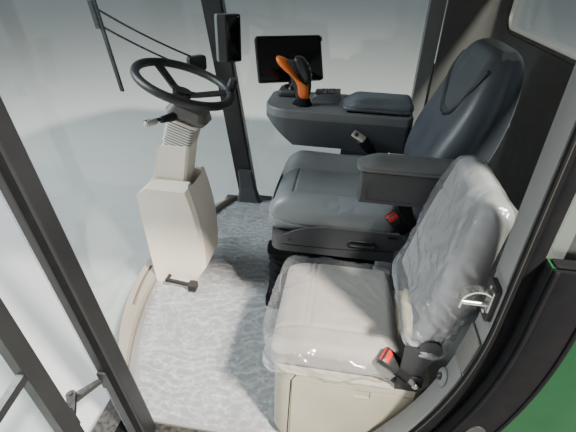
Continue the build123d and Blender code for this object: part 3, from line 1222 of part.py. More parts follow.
# Main screen on its post
SCREEN_W = 336
SCREEN_H = 216
SCREEN_T = 30
SCREEN_YAW = radians(64)
SCREEN_TILT = 0.38
SCREEN_MID = Vector(-557, -154, FLOOR + 965)
SCREEN_DIR = Vector(sin(SCREEN_YAW) * cos(SCREEN_TILT), cos(SCREEN_YAW) * cos(SCREEN_TILT), sin(SCREEN_TILT))
SCREEN_X = Vector(-cos(SCREEN_YAW), sin(SCREEN_YAW), 0)
MOUNT_T = 8
SCREEN_POST_R = 12
SCREEN_POST_Y = -158
SCREEN_POST_X = CONSOLE_FAR - 14
SCREEN_FOOT_W = 38
with BuildPart() as display:
    with BuildSketch(Plane(origin=SCREEN_MID - SCREEN_DIR * SCREEN_T, x_dir=SCREEN_X, z_dir=SCREEN_DIR)):
        RectangleRounded(SCREEN_W, SCREEN_H, 12)
    extrude(amount=SCREEN_T)
display.part.label = "display"
export_step(display.part, "parts/display.step")

plate_origin = SCREEN_MID - SCREEN_DIR * (SCREEN_T + MOUNT_T)
with BuildPart() as display_arm:
    with BuildSketch(Plane(origin=plate_origin, x_dir=SCREEN_X, z_dir=SCREEN_DIR)):
        RectangleRounded(110, 110, 10)
    extrude(amount=MOUNT_T)
    with BuildSketch(Plane(origin=plate_origin, x_dir=SCREEN_X, z_dir=SCREEN_DIR)):
        Circle(26)
    extrude(amount=-18)
    with BuildSketch(Plane.XY.offset(CONSOLE_LOW + 60)):
        with Locations((SCREEN_POST_X, SCREEN_POST_Y)):
            Circle(SCREEN_POST_R)
    extrude(amount=plate_origin.Z - CONSOLE_LOW - 60)
    with BuildSketch(Plane.XY.offset(CONSOLE_LOW + 60)):
        with Locations((CONSOLE_FAR - BOND - SCREEN_FOOT_W / 2, SCREEN_POST_Y)):
            Rectangle(SCREEN_FOOT_W, 34)
    extrude(amount=60)
display_arm.part.label = "display_arm"
export_step(display_arm.part, "parts/display_arm.step")

# Instructor's seat: box, cushion and folding backrest
BUDDY_REAR = 470
BUDDY_BOX_H = 355
BUDDY_MID = (BUDDY_X0 + BUDDY_X1) / 2
BUDDY_EAR = 8
BUDDY_PIN_R = 7
EAR_GAP = 6
LID_SEAM = 30
SEAM_W = 3.5
SEAM_D = 3
BUDDY_EAR_X0 = BUDDY_X0 + 14
BUDDY_BACK_X0 = BUDDY_EAR_X0 + BUDDY_EAR + EAR_GAP
BUDDY_BACK_X1 = BUDDY_X1 - BUDDY_EAR - EAR_GAP
with BuildPart() as buddy_box:
    with BuildSketch(Plane.XY.offset(FLOOR)):
        with Locations((BUDDY_MID, (BUDDY_FRONT + BUDDY_REAR) / 2)):
            RectangleRounded(BUDDY_X1 - BUDDY_X0 - 24, BUDDY_REAR - BUDDY_FRONT - 24, 48)
    extrude(amount=40)
    with BuildSketch(Plane.XY.offset(FLOOR + 40)):
        with Locations((BUDDY_MID, (BUDDY_FRONT + BUDDY_REAR) / 2)):
            RectangleRounded(BUDDY_X1 - BUDDY_X0, BUDDY_REAR - BUDDY_FRONT, 60)
    extrude(amount=BUDDY_BOX_H - 40)
    for ear_start in (BUDDY_EAR_X0, BUDDY_X1 - BUDDY_EAR):
        with BuildSketch(Plane.YZ.offset(ear_start)):
            with Locations((BUDDY_FOLD_Y - 35, (FLOOR + BUDDY_BOX_H - 80 + BUDDY_FOLD_Z) / 2)):
                Rectangle(60, BUDDY_FOLD_Z - FLOOR - BUDDY_BOX_H + 80)
            with Locations((BUDDY_FOLD_Y, BUDDY_FOLD_Z)):
                Circle(30)
            with BuildLine():
                Polyline((BUDDY_FOLD_Y - 65, BUDDY_FOLD_Z), (BUDDY_FOLD_Y + 30, BUDDY_FOLD_Z),
                         (BUDDY_FOLD_Y - 5, BUDDY_FOLD_Z - 90), (BUDDY_FOLD_Y - 65, BUDDY_FOLD_Z))
            make_face()
        extrude(amount=BUDDY_EAR)
    for pin_start in (BUDDY_EAR_X0, BUDDY_BACK_X1 - 18):
        with BuildSketch(Plane.YZ.offset(pin_start)):
            with Locations((BUDDY_FOLD_Y, BUDDY_FOLD_Z)):
                Circle(BUDDY_PIN_R)
        extrude(amount=BUDDY_EAR + EAR_GAP + 18)
    with BuildSketch(Plane.XY.offset(FLOOR + BUDDY_BOX_H - LID_SEAM)):
        with Locations((BUDDY_MID, (BUDDY_FRONT + BUDDY_REAR) / 2)):
            RectangleRounded(BUDDY_X1 - BUDDY_X0 + 2, BUDDY_REAR - BUDDY_FRONT + 2, 61)
            RectangleRounded(BUDDY_X1 - BUDDY_X0 - 2 * SEAM_D, BUDDY_REAR - BUDDY_FRONT - 2 * SEAM_D, 57,
                             mode=Mode.SUBTRACT)
    extrude(amount=-SEAM_W, mode=Mode.SUBTRACT)
    with BuildSketch(Plane.YZ.offset(BUDDY_X1)):
        with Locations((BUDDY_FRONT + 60, FLOOR + BUDDY_BOX_H / 2 - LID_SEAM / 2)):
            Rectangle(SEAM_W, BUDDY_BOX_H - LID_SEAM)
        with Locations((BUDDY_REAR - 190, FLOOR + BUDDY_BOX_H - LID_SEAM - 16)):
            Rectangle(46, 30)
    extrude(amount=-SEAM_D, mode=Mode.SUBTRACT)
buddy_box.part.label = "buddy_box"
export_step(buddy_box.part, "parts/buddy_box.step")

BUDDY_SEAT_T = 110
with BuildPart() as buddy_cushion:
    with BuildSketch(Plane.XY.offset(FLOOR + BUDDY_BOX_H + BOND)):
        with Locations((BUDDY_MID, 182)):
            RectangleRounded(BUDDY_X1 - BUDDY_X0 - 24, 372, 40)
    extrude(amount=BUDDY_SEAT_T)
    fillet(buddy_cushion.faces().sort_by(Axis.Z)[-1].edges(), 28)
buddy_cushion.part.label = "buddy_cushion"
export_step(buddy_cushion.part, "parts/buddy_cushion.step")

BUDDY_BACK_H = 415
BUDDY_BACK_LEAN = 12
BACK_TAPER = 52
BUDDY_BACK_T = 2 * BUDDY_END_R
BACK_LEAN_UP = sin(radians(BUDDY_BACK_LEAN))
BACK_LEAN_OUT = cos(radians(BUDDY_BACK_LEAN))
BUDDY_PLANE = Plane(origin=(0, BUDDY_FOLD_Y, BUDDY_FOLD_Z), x_dir=(0, BACK_LEAN_OUT, -BACK_LEAN_UP),
                    z_dir=(1, 0, 0))
with BuildPart() as buddy_backrest:
    with BuildSketch(BUDDY_PLANE.offset(BUDDY_BACK_X0)):
        Circle(BUDDY_END_R)
        with Locations((0, BUDDY_BACK_H / 2 - 10)):
            Rectangle(BUDDY_BACK_T, BUDDY_BACK_H - 20)
        with Locations((0, BUDDY_BACK_H - 30)):
            RectangleRounded(BUDDY_BACK_T, 60, 29)
    extrude(amount=BUDDY_BACK_X1 - BUDDY_BACK_X0)
    with BuildSketch(Plane(origin=(0, BUDDY_FOLD_Y, BUDDY_FOLD_Z), x_dir=(1, 0, 0),
                           z_dir=(0, -BACK_LEAN_OUT, BACK_LEAN_UP))) as back_front:
        with BuildLine():
            Polyline((BUDDY_BACK_X0, -BUDDY_END_R - 5), (BUDDY_BACK_X1, -BUDDY_END_R - 5),
                     (BUDDY_BACK_X1, BUDDY_BACK_H / 2), (BUDDY_BACK_X1 - BACK_TAPER, BUDDY_BACK_H),
                     (BUDDY_BACK_X0 + BACK_TAPER, BUDDY_BACK_H), (BUDDY_BACK_X0, BUDDY_BACK_H / 2), close=True)
        make_face()
        fillet(back_front.vertices().group_by(Axis.Z)[-1], 75)
    extrude(amount=BUDDY_BACK_T, both=True, mode=Mode.INTERSECT)
    for bore_start in (BUDDY_BACK_X0, BUDDY_BACK_X1 - 20):
        with BuildSketch(Plane.YZ.offset(bore_start)):
            with Locations((BUDDY_FOLD_Y, BUDDY_FOLD_Z)):
                Circle(BUDDY_PIN_R + PIN_GAP)
        extrude(amount=20, mode=Mode.SUBTRACT)
buddy_backrest.part.label = "buddy_backrest"
export_step(buddy_backrest.part, "parts/buddy_backrest.step")
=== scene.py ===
"""Looks of a combine harvester cab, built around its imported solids. Metres, Z up."""

import math

import bpy
import numpy as np
from mathutils import Matrix, Vector
from mathutils.bvhtree import BVHTree
from mathutils.noise import fractal, ridged_multi_fractal


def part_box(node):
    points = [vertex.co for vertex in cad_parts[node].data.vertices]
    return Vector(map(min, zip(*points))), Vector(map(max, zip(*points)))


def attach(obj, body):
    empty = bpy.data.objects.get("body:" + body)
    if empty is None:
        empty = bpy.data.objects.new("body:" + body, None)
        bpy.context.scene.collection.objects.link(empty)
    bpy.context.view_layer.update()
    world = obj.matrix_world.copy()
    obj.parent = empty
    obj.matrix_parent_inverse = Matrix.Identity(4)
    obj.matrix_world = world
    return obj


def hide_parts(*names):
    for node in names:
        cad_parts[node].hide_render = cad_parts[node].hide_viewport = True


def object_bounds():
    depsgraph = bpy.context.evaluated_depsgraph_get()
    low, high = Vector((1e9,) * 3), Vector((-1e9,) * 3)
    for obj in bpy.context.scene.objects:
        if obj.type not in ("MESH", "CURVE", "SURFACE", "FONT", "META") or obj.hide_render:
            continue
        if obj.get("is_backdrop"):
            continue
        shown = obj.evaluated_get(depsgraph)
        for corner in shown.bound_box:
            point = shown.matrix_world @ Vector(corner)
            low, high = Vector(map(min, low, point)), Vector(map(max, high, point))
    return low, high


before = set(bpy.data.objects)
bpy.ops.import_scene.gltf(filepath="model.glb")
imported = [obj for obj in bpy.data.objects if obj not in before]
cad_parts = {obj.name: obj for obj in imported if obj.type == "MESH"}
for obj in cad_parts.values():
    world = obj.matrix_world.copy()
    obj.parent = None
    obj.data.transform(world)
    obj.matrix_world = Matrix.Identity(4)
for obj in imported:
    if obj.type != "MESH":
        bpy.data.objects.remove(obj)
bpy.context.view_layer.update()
scene = bpy.context.scene

FLOOR = 0.180
WHEEL_TILT = math.radians(19)
WHEEL_MID = Vector((0, -0.490, 1.140))
WHEEL_UP = Vector((0, math.sin(WHEEL_TILT), math.cos(WHEEL_TILT)))
WHEEL_FORE = Vector((0, -math.cos(WHEEL_TILT), math.sin(WHEEL_TILT)))

# Camera at the photograph's place
CAMERA_AT = Vector((1.5602, 0.1454, 1.5667))
CAMERA_RIGHT = Vector((-0.15118, 0.98808, 0.02911))
CAMERA_UP = Vector((-0.52243, -0.10487, 0.84621))
CAMERA_BACK = Vector((0.83917, 0.11272, 0.53206))
camera = bpy.data.objects.new("camera", bpy.data.cameras.new("camera"))
scene.collection.objects.link(camera)
camera.data.lens = 25.64
camera.data.sensor_width = 36
camera.data.clip_start = 0.02
axes = Matrix((CAMERA_RIGHT, CAMERA_UP, CAMERA_BACK)).transposed()
camera.matrix_world = Matrix.Translation(CAMERA_AT) @ axes.to_4x4()
scene.camera = camera


# Materials
MIX_FIRST, MIX_SECOND, MIX_RESULT = 6, 7, 2  # colour sockets of a Mix node


def feed(tree, node, inputs):
    """Links outputs to a node's sockets, or sets the sockets' own numbers, vectors and colours."""
    for key, value in inputs.items():
        socket = node.inputs[key]
        if isinstance(value, bpy.types.NodeSocket):
            tree.links.new(value, socket)
        elif socket.type == "RGBA":
            socket.default_value = (*value, 1)
        else:
            socket.default_value = value


def put(tree, kind, inputs=None, **settings):
    """A shader node with its settings and its sockets."""
    made = tree.nodes.new("ShaderNode" + kind)
    for key, value in settings.items():
        setattr(made, key, value)
    feed(tree, made, inputs or {})
    return made


def new_material(name, color, rough, metal=0.0):
    """A principled material, with its node tree and its shader."""
    made = bpy.data.materials.new(name)
    made.use_nodes = True
    shader = made.node_tree.nodes["Principled BSDF"]
    feed(made.node_tree, shader, {"Base Color": color, "Roughness": rough, "Metallic": metal})
    return made, made.node_tree, shader


def new_sheet(name):
    """A material for a clear sheet, without the principled shader, and its node tree."""
    made = bpy.data.materials.new(name)
    made.use_nodes = True
    made.node_tree.nodes.remove(made.node_tree.nodes["Principled BSDF"])
    return made, made.node_tree


def noise(tree, scale, detail=3.0, stretch=(1, 1, 1), ridged=None):
    """Noise over object coordinates, stretched along an axis, or ridged with some distortion."""
    place = put(tree, "Mapping", {"Vector": put(tree, "TexCoord").outputs["Object"], "Scale": stretch})
    made = put(tree, "TexNoise", {"Vector": place.outputs["Vector"], "Scale": scale, "Detail": detail})
    if ridged is not None:
        made.noise_type = "RIDGED_MULTIFRACTAL"
        made.inputs["Distortion"].default_value = ridged
    return made.outputs["Fac"]


def maths(tree, operation, *values):
    return put(tree, "Math", dict(enumerate(values)), operation=operation).outputs[0]


def ramp(tree, source, low, high, start=0, end=1):
    """Maps a value between two limits onto a range."""
    limits = {"From Min": low, "From Max": high, "To Min": start, "To Max": end}
    return put(tree, "MapRange", {"Value": source, **limits}).outputs["Result"]


def mix_color(tree, share, first, second):
    """Mixes two colours, either of which may be a socket, by a share."""
    inputs = {"Factor": share, MIX_FIRST: first, MIX_SECOND: second}
    return put(tree, "Mix", inputs, data_type="RGBA").outputs[MIX_RESULT]


def mix_shader(tree, share, first, second):
    return put(tree, "MixShader", {0: share, 1: first, 2: second}).outputs["Shader"]


def add_bump(tree, shader, height, distance, strength=1.0, base=None):
    """Adds a bump, on top of another one if there is one."""
    under = {} if base is None else {"Normal": base}
    bump = put(tree, "Bump", {"Strength": strength, "Distance": distance, "Height": height, **under})
    feed(tree, shader, {"Normal": bump.outputs["Normal"]})
    return bump.outputs["Normal"]


def scaled(color, share):
    return tuple(min(1, c * share) for c in color)


def mottled(tree, cloud, color, dark, light):
    """A colour that a noise takes from a darker to a lighter share of itself."""
    return mix_color(tree, ramp(tree, cloud, 0.3, 0.7), scaled(color, dark), scaled(color, light))


def dusted(tree, shade, speck, low, amount, dust):
    """A colour under dust, which lies on what faces up."""
    split = put(tree, "SeparateXYZ", {"Vector": put(tree, "NewGeometry").outputs["Normal"]})
    upward = ramp(tree, split.outputs["Z"], low, 1.0)
    share = maths(tree, "MULTIPLY", upward, ramp(tree, speck, 0.35, 0.75, 0, amount))
    return mix_color(tree, share, shade, dust)


def plastic(name, color, rough=0.5, grain=0.0002, tint=0.12, dust=0.0):
    """Moulded plastic: fine grain, faint cloudiness and an optional film of dust on what faces up."""
    made, tree, shader = new_material(name, color, rough)
    shade = mottled(tree, noise(tree, 5, 4), color, 1 - tint, 1 + tint)
    if dust:
        shade = dusted(tree, shade, noise(tree, 60, 6), 0.2, dust, (0.42, 0.37, 0.29))
    sheen = ramp(tree, noise(tree, 14), 0.3, 0.7, rough - 0.07, rough + 0.07)
    feed(tree, shader, {"Specular IOR Level": 0.35, "Base Color": shade, "Roughness": sheen})
    add_bump(tree, shader, noise(tree, 1100, 2), grain, 0.5)
    return made


def leather(name, color, rough=0.42, pebble=520.0):
    """Grained vinyl or leather: pebbles, creases and a soft variation of colour and sheen."""
    made, tree, shader = new_material(name, color, rough)
    cloud = noise(tree, 7, 5)
    place = put(tree, "TexCoord").outputs["Object"]
    cells = put(tree, "TexVoronoi", {"Vector": place, "Scale": pebble}, feature="SMOOTH_F1")
    cells = cells.outputs["Distance"]
    shade = mottled(tree, cloud, color, 0.88, 1.12)
    feed(tree, shader, {
        "Base Color": mix_color(tree, ramp(tree, cells, 0.1, 0.7, 0, 0.25), shade, scaled(color, 0.6)),
        "Roughness": ramp(tree, cloud, 0.3, 0.7, rough - 0.06, rough + 0.08)})
    grained = add_bump(tree, shader, cells, 0.00035, 0.35)
    add_bump(tree, shader, noise(tree, 30, 4), 0.0012, 0.3, grained)
    return made


def paint(name, color, rough=0.42):
    """Sprayed paint with orange peel, a clear coat and dust on top."""
    made, tree, shader = new_material(name, color, rough)
    patches = noise(tree, 9, 6)
    feed(tree, shader, {
        "Base Color": dusted(tree, color, patches, 0.3, 0.04, (0.36, 0.33, 0.26)),
        "Roughness": ramp(tree, patches, 0.3, 0.7, rough - 0.08, rough + 0.16),
        "Specular IOR Level": 0.12, "Coat Weight": 0.04, "Coat Roughness": 0.12})
    add_bump(tree, shader, noise(tree, 300, 1), 0.0003, 0.25)
    return made


def metal(name, color, rough):
    """Zinc-plated steel with brushed streaks and dull patches."""
    made, tree, shader = new_material(name, color, rough, 1.0)
    streak = noise(tree, 400, 2, (1, 1, 0.05))
    patch = ramp(tree, noise(tree, 40, 5), 0.35, 0.7)
    feed(tree, shader, {"Base Color": mix_color(tree, patch, color, scaled(color, 0.7)),
                        "Roughness": ramp(tree, streak, 0.3, 0.7, rough - 0.1, rough + 0.15)})
    add_bump(tree, shader, streak, 0.0001, 0.3)
    return made


def rubber(name, color):
    """Matte rubber with a dusty bloom."""
    made, tree, shader = new_material(name, color, 0.85)
    bloom = ramp(tree, noise(tree, 22, 6), 0.4, 0.8, 0, 0.5)
    shade = mix_color(tree, bloom, color, tuple(c + 0.006 for c in color))
    feed(tree, shader, {"Specular IOR Level": 0.06, "Base Color": shade})
    add_bump(tree, shader, noise(tree, 700), 0.0003, 0.5)
    return made


def cloth(name, color):
    """Woven fabric from two crossed waves, with slubs and sheen."""
    made, tree, shader = new_material(name, color, 0.85)
    wave = {"Vector": put(tree, "TexCoord").outputs["Object"], "Scale": 150.0, "Distortion": 0.6}
    weave = [put(tree, "TexWave", wave, bands_direction=way).outputs["Fac"] for way in "XY"]
    shade = mottled(tree, noise(tree, 60, 5), color, 0.85, 1.12)
    feed(tree, shader, {"Sheen Weight": 0.25, "Base Color": shade})
    add_bump(tree, shader, maths(tree, "MULTIPLY", *weave), 0.0003, 0.5)
    return made


def mirror_share(tree, normal=None):
    """Schlick's share of light that a clear sheet reflects, the same from both of its sides."""
    bent = {} if normal is None else {"Normal": normal}
    facing = put(tree, "LayerWeight", {"Blend": 0.5, **bent}).outputs["Facing"]
    return ramp(tree, maths(tree, "POWER", facing, 5.0), 0, 1, 0.04, 1.0)


def pane(name, tint, rough=0.02):
    """A thin clear sheet: mostly see-through, with Fresnel reflections."""
    made, tree = new_sheet(name)
    dirt = ramp(tree, noise(tree, 12, 6), 0.3, 0.8, rough, rough + 0.12)
    through = put(tree, "BsdfTransparent", {"Color": tint}).outputs["BSDF"]
    shine = put(tree, "BsdfGlossy", {"Color": (1, 1, 1), "Roughness": dirt}).outputs["BSDF"]
    both = mix_shader(tree, mirror_share(tree), through, shine)
    feed(tree, tree.nodes["Material Output"], {"Surface": both})
    return made


def film(name, haze, scale, deep, tint=(0.97, 0.97, 0.98), stretch=(1, 1, 0.35), shine_rough=0.10,
         grainy=True):
    """Crinkled clear plastic film: see-through, milky along its creases, with bright highlights, and pale
    where highlights and reflections are painted on it.
    """
    made, tree = new_sheet(name)
    folds = noise(tree, scale, 5, stretch, 0.8)
    fine = noise(tree, scale * 3.4, 4, stretch, 0.5)
    relief = maths(tree, "MULTIPLY_ADD", fine, 0.30, folds)
    normal = put(tree, "Bump", {"Distance": deep, "Strength": 0.7, "Height": relief}).outputs["Normal"]
    through = put(tree, "BsdfTransparent", {"Color": tint}).outputs["BSDF"]
    milk_and_painted_reflection = put(tree, "BsdfDiffuse", {"Color": (0.86, 0.87, 0.90), "Normal": normal}).outputs["BSDF"]
    shine = put(tree, "BsdfGlossy", {"Roughness": shine_rough, "Normal": normal}).outputs["BSDF"]
    crease = ramp(tree, folds, 0.55, 1.0, haze * 0.2, haze)
    cloudy = ramp(tree, noise(tree, scale * 0.3), 0.35, 0.7, 0.45, 1.0)
    grain = ramp(tree, fine, 0.45, 0.95, 0.15, 0.95) if grainy else 1.0
    # The stored paleness: milkiness, and painted highlights and reflections.
    painted = put(tree, "Attribute", attribute_name="haze").outputs["Fac"]
    milk_share_and_painted_light = maths(tree, "MULTIPLY_ADD", painted, grain, maths(tree, "MULTIPLY", crease, cloudy))
    veil = mix_shader(tree, milk_share_and_painted_light, through, milk_and_painted_reflection)
    both = mix_shader(tree, mirror_share(tree, normal), veil, shine)
    feed(tree, tree.nodes["Material Output"], {"Surface": both})
    return made


def banded(name, upper, lower, level):
    """Grained plastic in two tones that meet along a moulded line, with a groove there."""
    made, tree, shader = new_material(name, upper, 0.48)
    height = put(tree, "SeparateXYZ", {"Vector": put(tree, "TexCoord").outputs["Object"]}).outputs["Z"]
    cloud = noise(tree, 6, 4)
    tones = [mottled(tree, cloud, color, 0.9, 1.1) for color in (lower, upper)]
    share = ramp(tree, height, level - 0.0006, level + 0.0006)
    feed(tree, shader, {"Base Color": mix_color(tree, share, *tones)})
    groove = maths(tree, "COMPARE", height, level, 0.0015)
    dip = add_bump(tree, shader, ramp(tree, groove, 0, 1, 1, 0), 0.002)
    add_bump(tree, shader, noise(tree, 1100, 2), 0.0003, 0.5, dip)
    return made


def pleated(name):
    """Dark pleats whose crests are painted pale as a highlight, counted along the steering column."""
    made, tree, shader = new_material(name, (0.05, 0.05, 0.05), 0.6)
    place = put(tree, "TexCoord").outputs["Object"]
    along = put(tree, "VectorMath", {0: place, 1: WHEEL_UP}, operation="DOT_PRODUCT").outputs["Value"]
    foot = Vector((0, BOOT_Y, BOOT_Z)).dot(WHEEL_UP)
    turns = ramp(tree, along, foot, foot + PLEAT_H)
    turns.node.clamp = False
    crest_highlight = ramp(tree, maths(tree, "PINGPONG", turns, 0.5), 0.10, 0.20)
    # The crests' pale colour is a painted highlight.
    shade = mix_color(tree, crest_highlight, (0.035, 0.035, 0.036), (0.62, 0.60, 0.55))
    feed(tree, shader, {"Base Color": shade})
    add_bump(tree, shader, noise(tree, 500), 0.0003, 0.4)
    return made


BOOT_Y = -0.538
BOOT_Z = 0.895
PLEAT_H = 0.0115
CONSOLE_BAND = 0.938
BOX_TOP = 0.5365
M = {
    "steel": plastic("black_steel", (0.016, 0.016, 0.017), 0.38, 0.0001, 0.2, 0.15),
    "mat": plastic("mat_rubber", (0.23, 0.232, 0.232), 0.55, 0.0006, 0.08),
    "beige": plastic("beige_plastic", (0.74, 0.655, 0.56), 0.5, 0.0003, 0.06),
    "sill": plastic("sill_plastic", (0.24, 0.21, 0.175), 0.5, 0.0003, 0.06),
    "beige_post": plastic("beige_post", (0.130, 0.131, 0.126), 0.5, 0.0003, 0.06),
    "lining": plastic("lining_plastic", (0.075, 0.072, 0.068), 0.55, 0.0004, 0.08),
    "dark": plastic("dark_plastic", (0.042, 0.042, 0.045), 0.5, 0.0003, 0.15, 0.08),
    "taupe": plastic("taupe_plastic", (0.105, 0.098, 0.090), 0.5, 0.0003, 0.1),
    "console": banded("console_plastic", (0.100, 0.104, 0.108), (0.042, 0.046, 0.052), CONSOLE_BAND),
    "buddy_box": banded("buddy_box_plastic", (0.014, 0.015, 0.018), (0.36, 0.325, 0.25), BOX_TOP),
    "black": plastic("black_plastic", (0.012, 0.012, 0.013), 0.42, 0.0002, 0.2, 0.05),
    "gloss": plastic("glossy_black", (0.003, 0.003, 0.004), 0.14, 0.00001, 0.1),
    "grip": leather("wheel_grip", (0.012, 0.013, 0.014), 0.5, 420.0),
    "orange": plastic("orange_plastic", (0.55, 0.115, 0.016), 0.38, 0.0002, 0.08),
    "red": plastic("red_plastic", (0.42, 0.010, 0.010), 0.35, 0.0001, 0.1),
    "yellow": plastic("yellow_marks", (0.75, 0.55, 0.05), 0.45, 0.0001, 0.05),
    # Green paint, its colour darkened below its own tone as painted shade.
    "roof": paint("green_paint", (0.003, 0.050, 0.014)),
    "zinc": metal("zinc", (0.62, 0.62, 0.60), 0.30),
    "seal": rubber("seal_rubber", (0.008, 0.008, 0.009)),
    "pale_seal": rubber("pale_seal", (0.055, 0.053, 0.045)),
    "liner": cloth("headlining", (0.30, 0.285, 0.26)),
    "seat": leather("seat_leather", (0.160, 0.168, 0.174)),
    "seat_side": leather("seat_side", (0.052, 0.058, 0.070)),
    "seat_trim": leather("seat_trim", (0.012, 0.012, 0.013), 0.35),
    "pad": leather("pad_leather", (0.085, 0.094, 0.106), 0.45, 420.0),
    "arm_pad": leather("arm_pad", (0.085, 0.086, 0.088), 0.45, 420.0),
    "buddy": leather("buddy_cloth", (0.27, 0.245, 0.22), 0.55, 420.0),
    # The buddy backrest's cloth is a darker, cooler copy of the cushion's cloth: painted shade.
    "buddy_shade": leather("buddy_back_cloth_painted_shade", (0.19, 0.18, 0.175), 0.55, 420.0),
    "webbing": cloth("webbing", (0.03, 0.03, 0.032)),
    "thread": cloth("thread", (0.16, 0.15, 0.14)),
    "glass": pane("cab_glass", (0.93, 0.965, 0.955)),
    "bag": film("bag_film", 0.42, 8.0, 0.0026, shine_rough=0.16),
    "back_bag": film("back_bag_film", 0.60, 13.0, 0.0032, stretch=(1, 1, 0.45), shine_rough=0.18),
    "pale_mark": plastic("pale_marks", (0.42, 0.41, 0.38), 0.5, 0.0001, 0.05),
    "floor_film": film("floor_film", 0.20, 9.0, 0.0030, (0.95, 0.95, 0.96), (0.45, 1.0, 1), 0.2, False),
    "pleats": pleated("boot_pleats"),
}
NODE_LOOKS = {
    "steel": "base_frame floor_pan front_posts roof_frame door_frame hinge_brackets hinge_arms "
             "brake_pedals display_arm",
    "mat": "floor_mat", "sill": "front_trim", "dark": "post_cover seat_pan armrest_box",
    "beige_post": "middle_posts", "taupe": "rear_posts rear_wall column_head", "lining": "rear_lining",
    "roof": "side_panels roof_shell", "liner": "headliner", "seal": "door_seal seat_suspension",
    "glass": "quarter_windows rear_window right_window windshield door_glass",
    "black": "lamp_bar door_latch column_stalk steering_wheel release_pedal joystick display "
             "striker_plate wiper",
    "zinc": "striker seat_slides", "beige": "column_housing column_shroud column_collar",
    "pleats": "column_boot", "console": "corner_display console", "arm_pad": "armrest_lid",
    "pad": "console_lid", "buddy_box": "buddy_box",
}
for look, nodes in NODE_LOOKS.items():
    for node in nodes.split():
        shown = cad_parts[node]
        shown.data.materials.clear()
        shown.data.materials.append(M[look])
LOOK_SLOTS = {
    "black": "black_plastic", "gloss": "black_plastic", "grip": "black_plastic",
    "seat_trim": "black_plastic", "orange": "orange_plastic", "red": "orange_plastic",
    "pale_mark": "beige_trim", "yellow": "beige_trim", "zinc": "zinc", "steel": "steel_black",
    "seal": "seal", "webbing": "seal", "pale_seal": "seal", "dark": "dark_trim",
    "beige_post": "grey_trim", "taupe": "grey_trim", "seat": "seat_leather", "pad": "pad",
    "arm_pad": "pad", "buddy": "seat_cloth", "buddy_shade": "seat_cloth",
}


# Mesh building
def place_mesh(name, points, faces, look, body, slot=None):
    """A smooth piece from points and faces, with its look and the body that it rides on."""
    mesh = bpy.data.meshes.new(name)
    mesh.from_pydata([tuple(p) for p in points], [], [tuple(int(i) for i in f) for f in faces])
    mesh.validate()
    mesh.polygons.foreach_set("use_smooth", [True] * len(mesh.polygons))
    piece = bpy.data.objects.new(name, mesh)
    scene.collection.objects.link(piece)
    mesh.materials.append(M[look])
    slot = slot or LOOK_SLOTS.get(look)
    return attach(piece, body)


def block(half, radius, step):
    """Points and quads of a box with round edges, centred at the origin."""
    half = np.array(half, float)
    count = np.maximum(2, np.ceil(2 * half / step).astype(int))
    index, points, quads = {}, [], []

    def corner(i, j, k):
        key = (i, j, k)
        if key not in index:
            index[key] = len(points)
            points.append(-half + 2 * half * np.array(key) / count)
        return index[key]

    for axis in range(3):
        a, b = [x for x in range(3) if x != axis]
        for side in (0, count[axis]):
            for i in range(count[a]):
                for j in range(count[b]):
                    ring = []
                    for di, dj in ((0, 0), (1, 0), (1, 1), (0, 1)):
                        key = [0, 0, 0]
                        key[axis], key[a], key[b] = side, i + di, j + dj
                        ring.append(corner(*key))
                    if (side == 0) != (axis == 1):
                        ring.reverse()
                    quads.append(ring)
    points = np.array(points)
    inner = np.clip(points, -(half - radius), half - radius)
    outward = points - inner
    outward /= np.linalg.norm(outward, axis=1)[:, None]
    return inner + radius * outward, np.array(quads)


def bell(x, width):
    return np.exp(-((x / width) ** 2))


def step_up(x, low, high):
    t = np.clip((x - low) / (high - low), 0, 1)
    return t * t * (3 - 2 * t)


def settle(piece, start, held, frames, cap, gravity, gap=0, **settings):
    """Runs Cloth on a piece; held points stay, and no point ends further than the cap from its start."""
    group = piece.vertex_groups.new(name="held")
    for weight in np.unique(held[held > 0.01]):
        group.add([int(i) for i in np.flatnonzero(held == weight)], float(weight), "REPLACE")
    cloth_mod = piece.modifiers.new("Cloth", "CLOTH")
    for key, value in settings.items():
        setattr(cloth_mod.settings, key, value)
    cloth_mod.settings.effector_weights.gravity = gravity
    cloth_mod.settings.vertex_group_mass = "held"
    cloth_mod.collision_settings.use_collision = gap > 0
    if gap:
        cloth_mod.collision_settings.distance_min = gap
    cloth_mod.point_cache.frame_start = 1
    cloth_mod.point_cache.frame_end = frames
    for number in range(1, frames + 1):
        scene.frame_set(number)
    evaluated = piece.evaluated_get(bpy.context.evaluated_depsgraph_get())
    moved = coordinates(evaluated) - start
    piece.modifiers.remove(cloth_mod)
    piece.vertex_groups.clear()
    length = np.linalg.norm(moved, axis=1)
    moved *= np.minimum(1, cap / np.maximum(length, 1e-9))[:, None]
    write_coordinates(piece, start + moved)
    scene.frame_set(1)


def swell(piece, held, pressure, frames, cap):
    """Swells a closed mesh with pressure between the points that are held."""
    settle(piece, coordinates(piece), held, frames, cap, 0, quality=5, mass=0.3, tension_stiffness=25,
           compression_stiffness=25, bending_stiffness=8, use_pressure=True,
           uniform_pressure_force=pressure)


def coordinates(piece):
    found = np.zeros(len(piece.data.vertices) * 3, np.float32)
    piece.data.vertices.foreach_get("co", found)
    return found.reshape(-1, 3).astype(float)


def write_coordinates(piece, points):
    piece.data.vertices.foreach_set("co", np.asarray(points, np.float32).ravel())
    piece.data.update()


def vertex_normals(piece):
    return np.array([tuple(v.normal) for v in piece.data.vertices])


def push_out(piece, distance):
    """Moves each point of a piece along its normal."""
    write_coordinates(piece, coordinates(piece) + vertex_normals(piece) * distance[:, None])


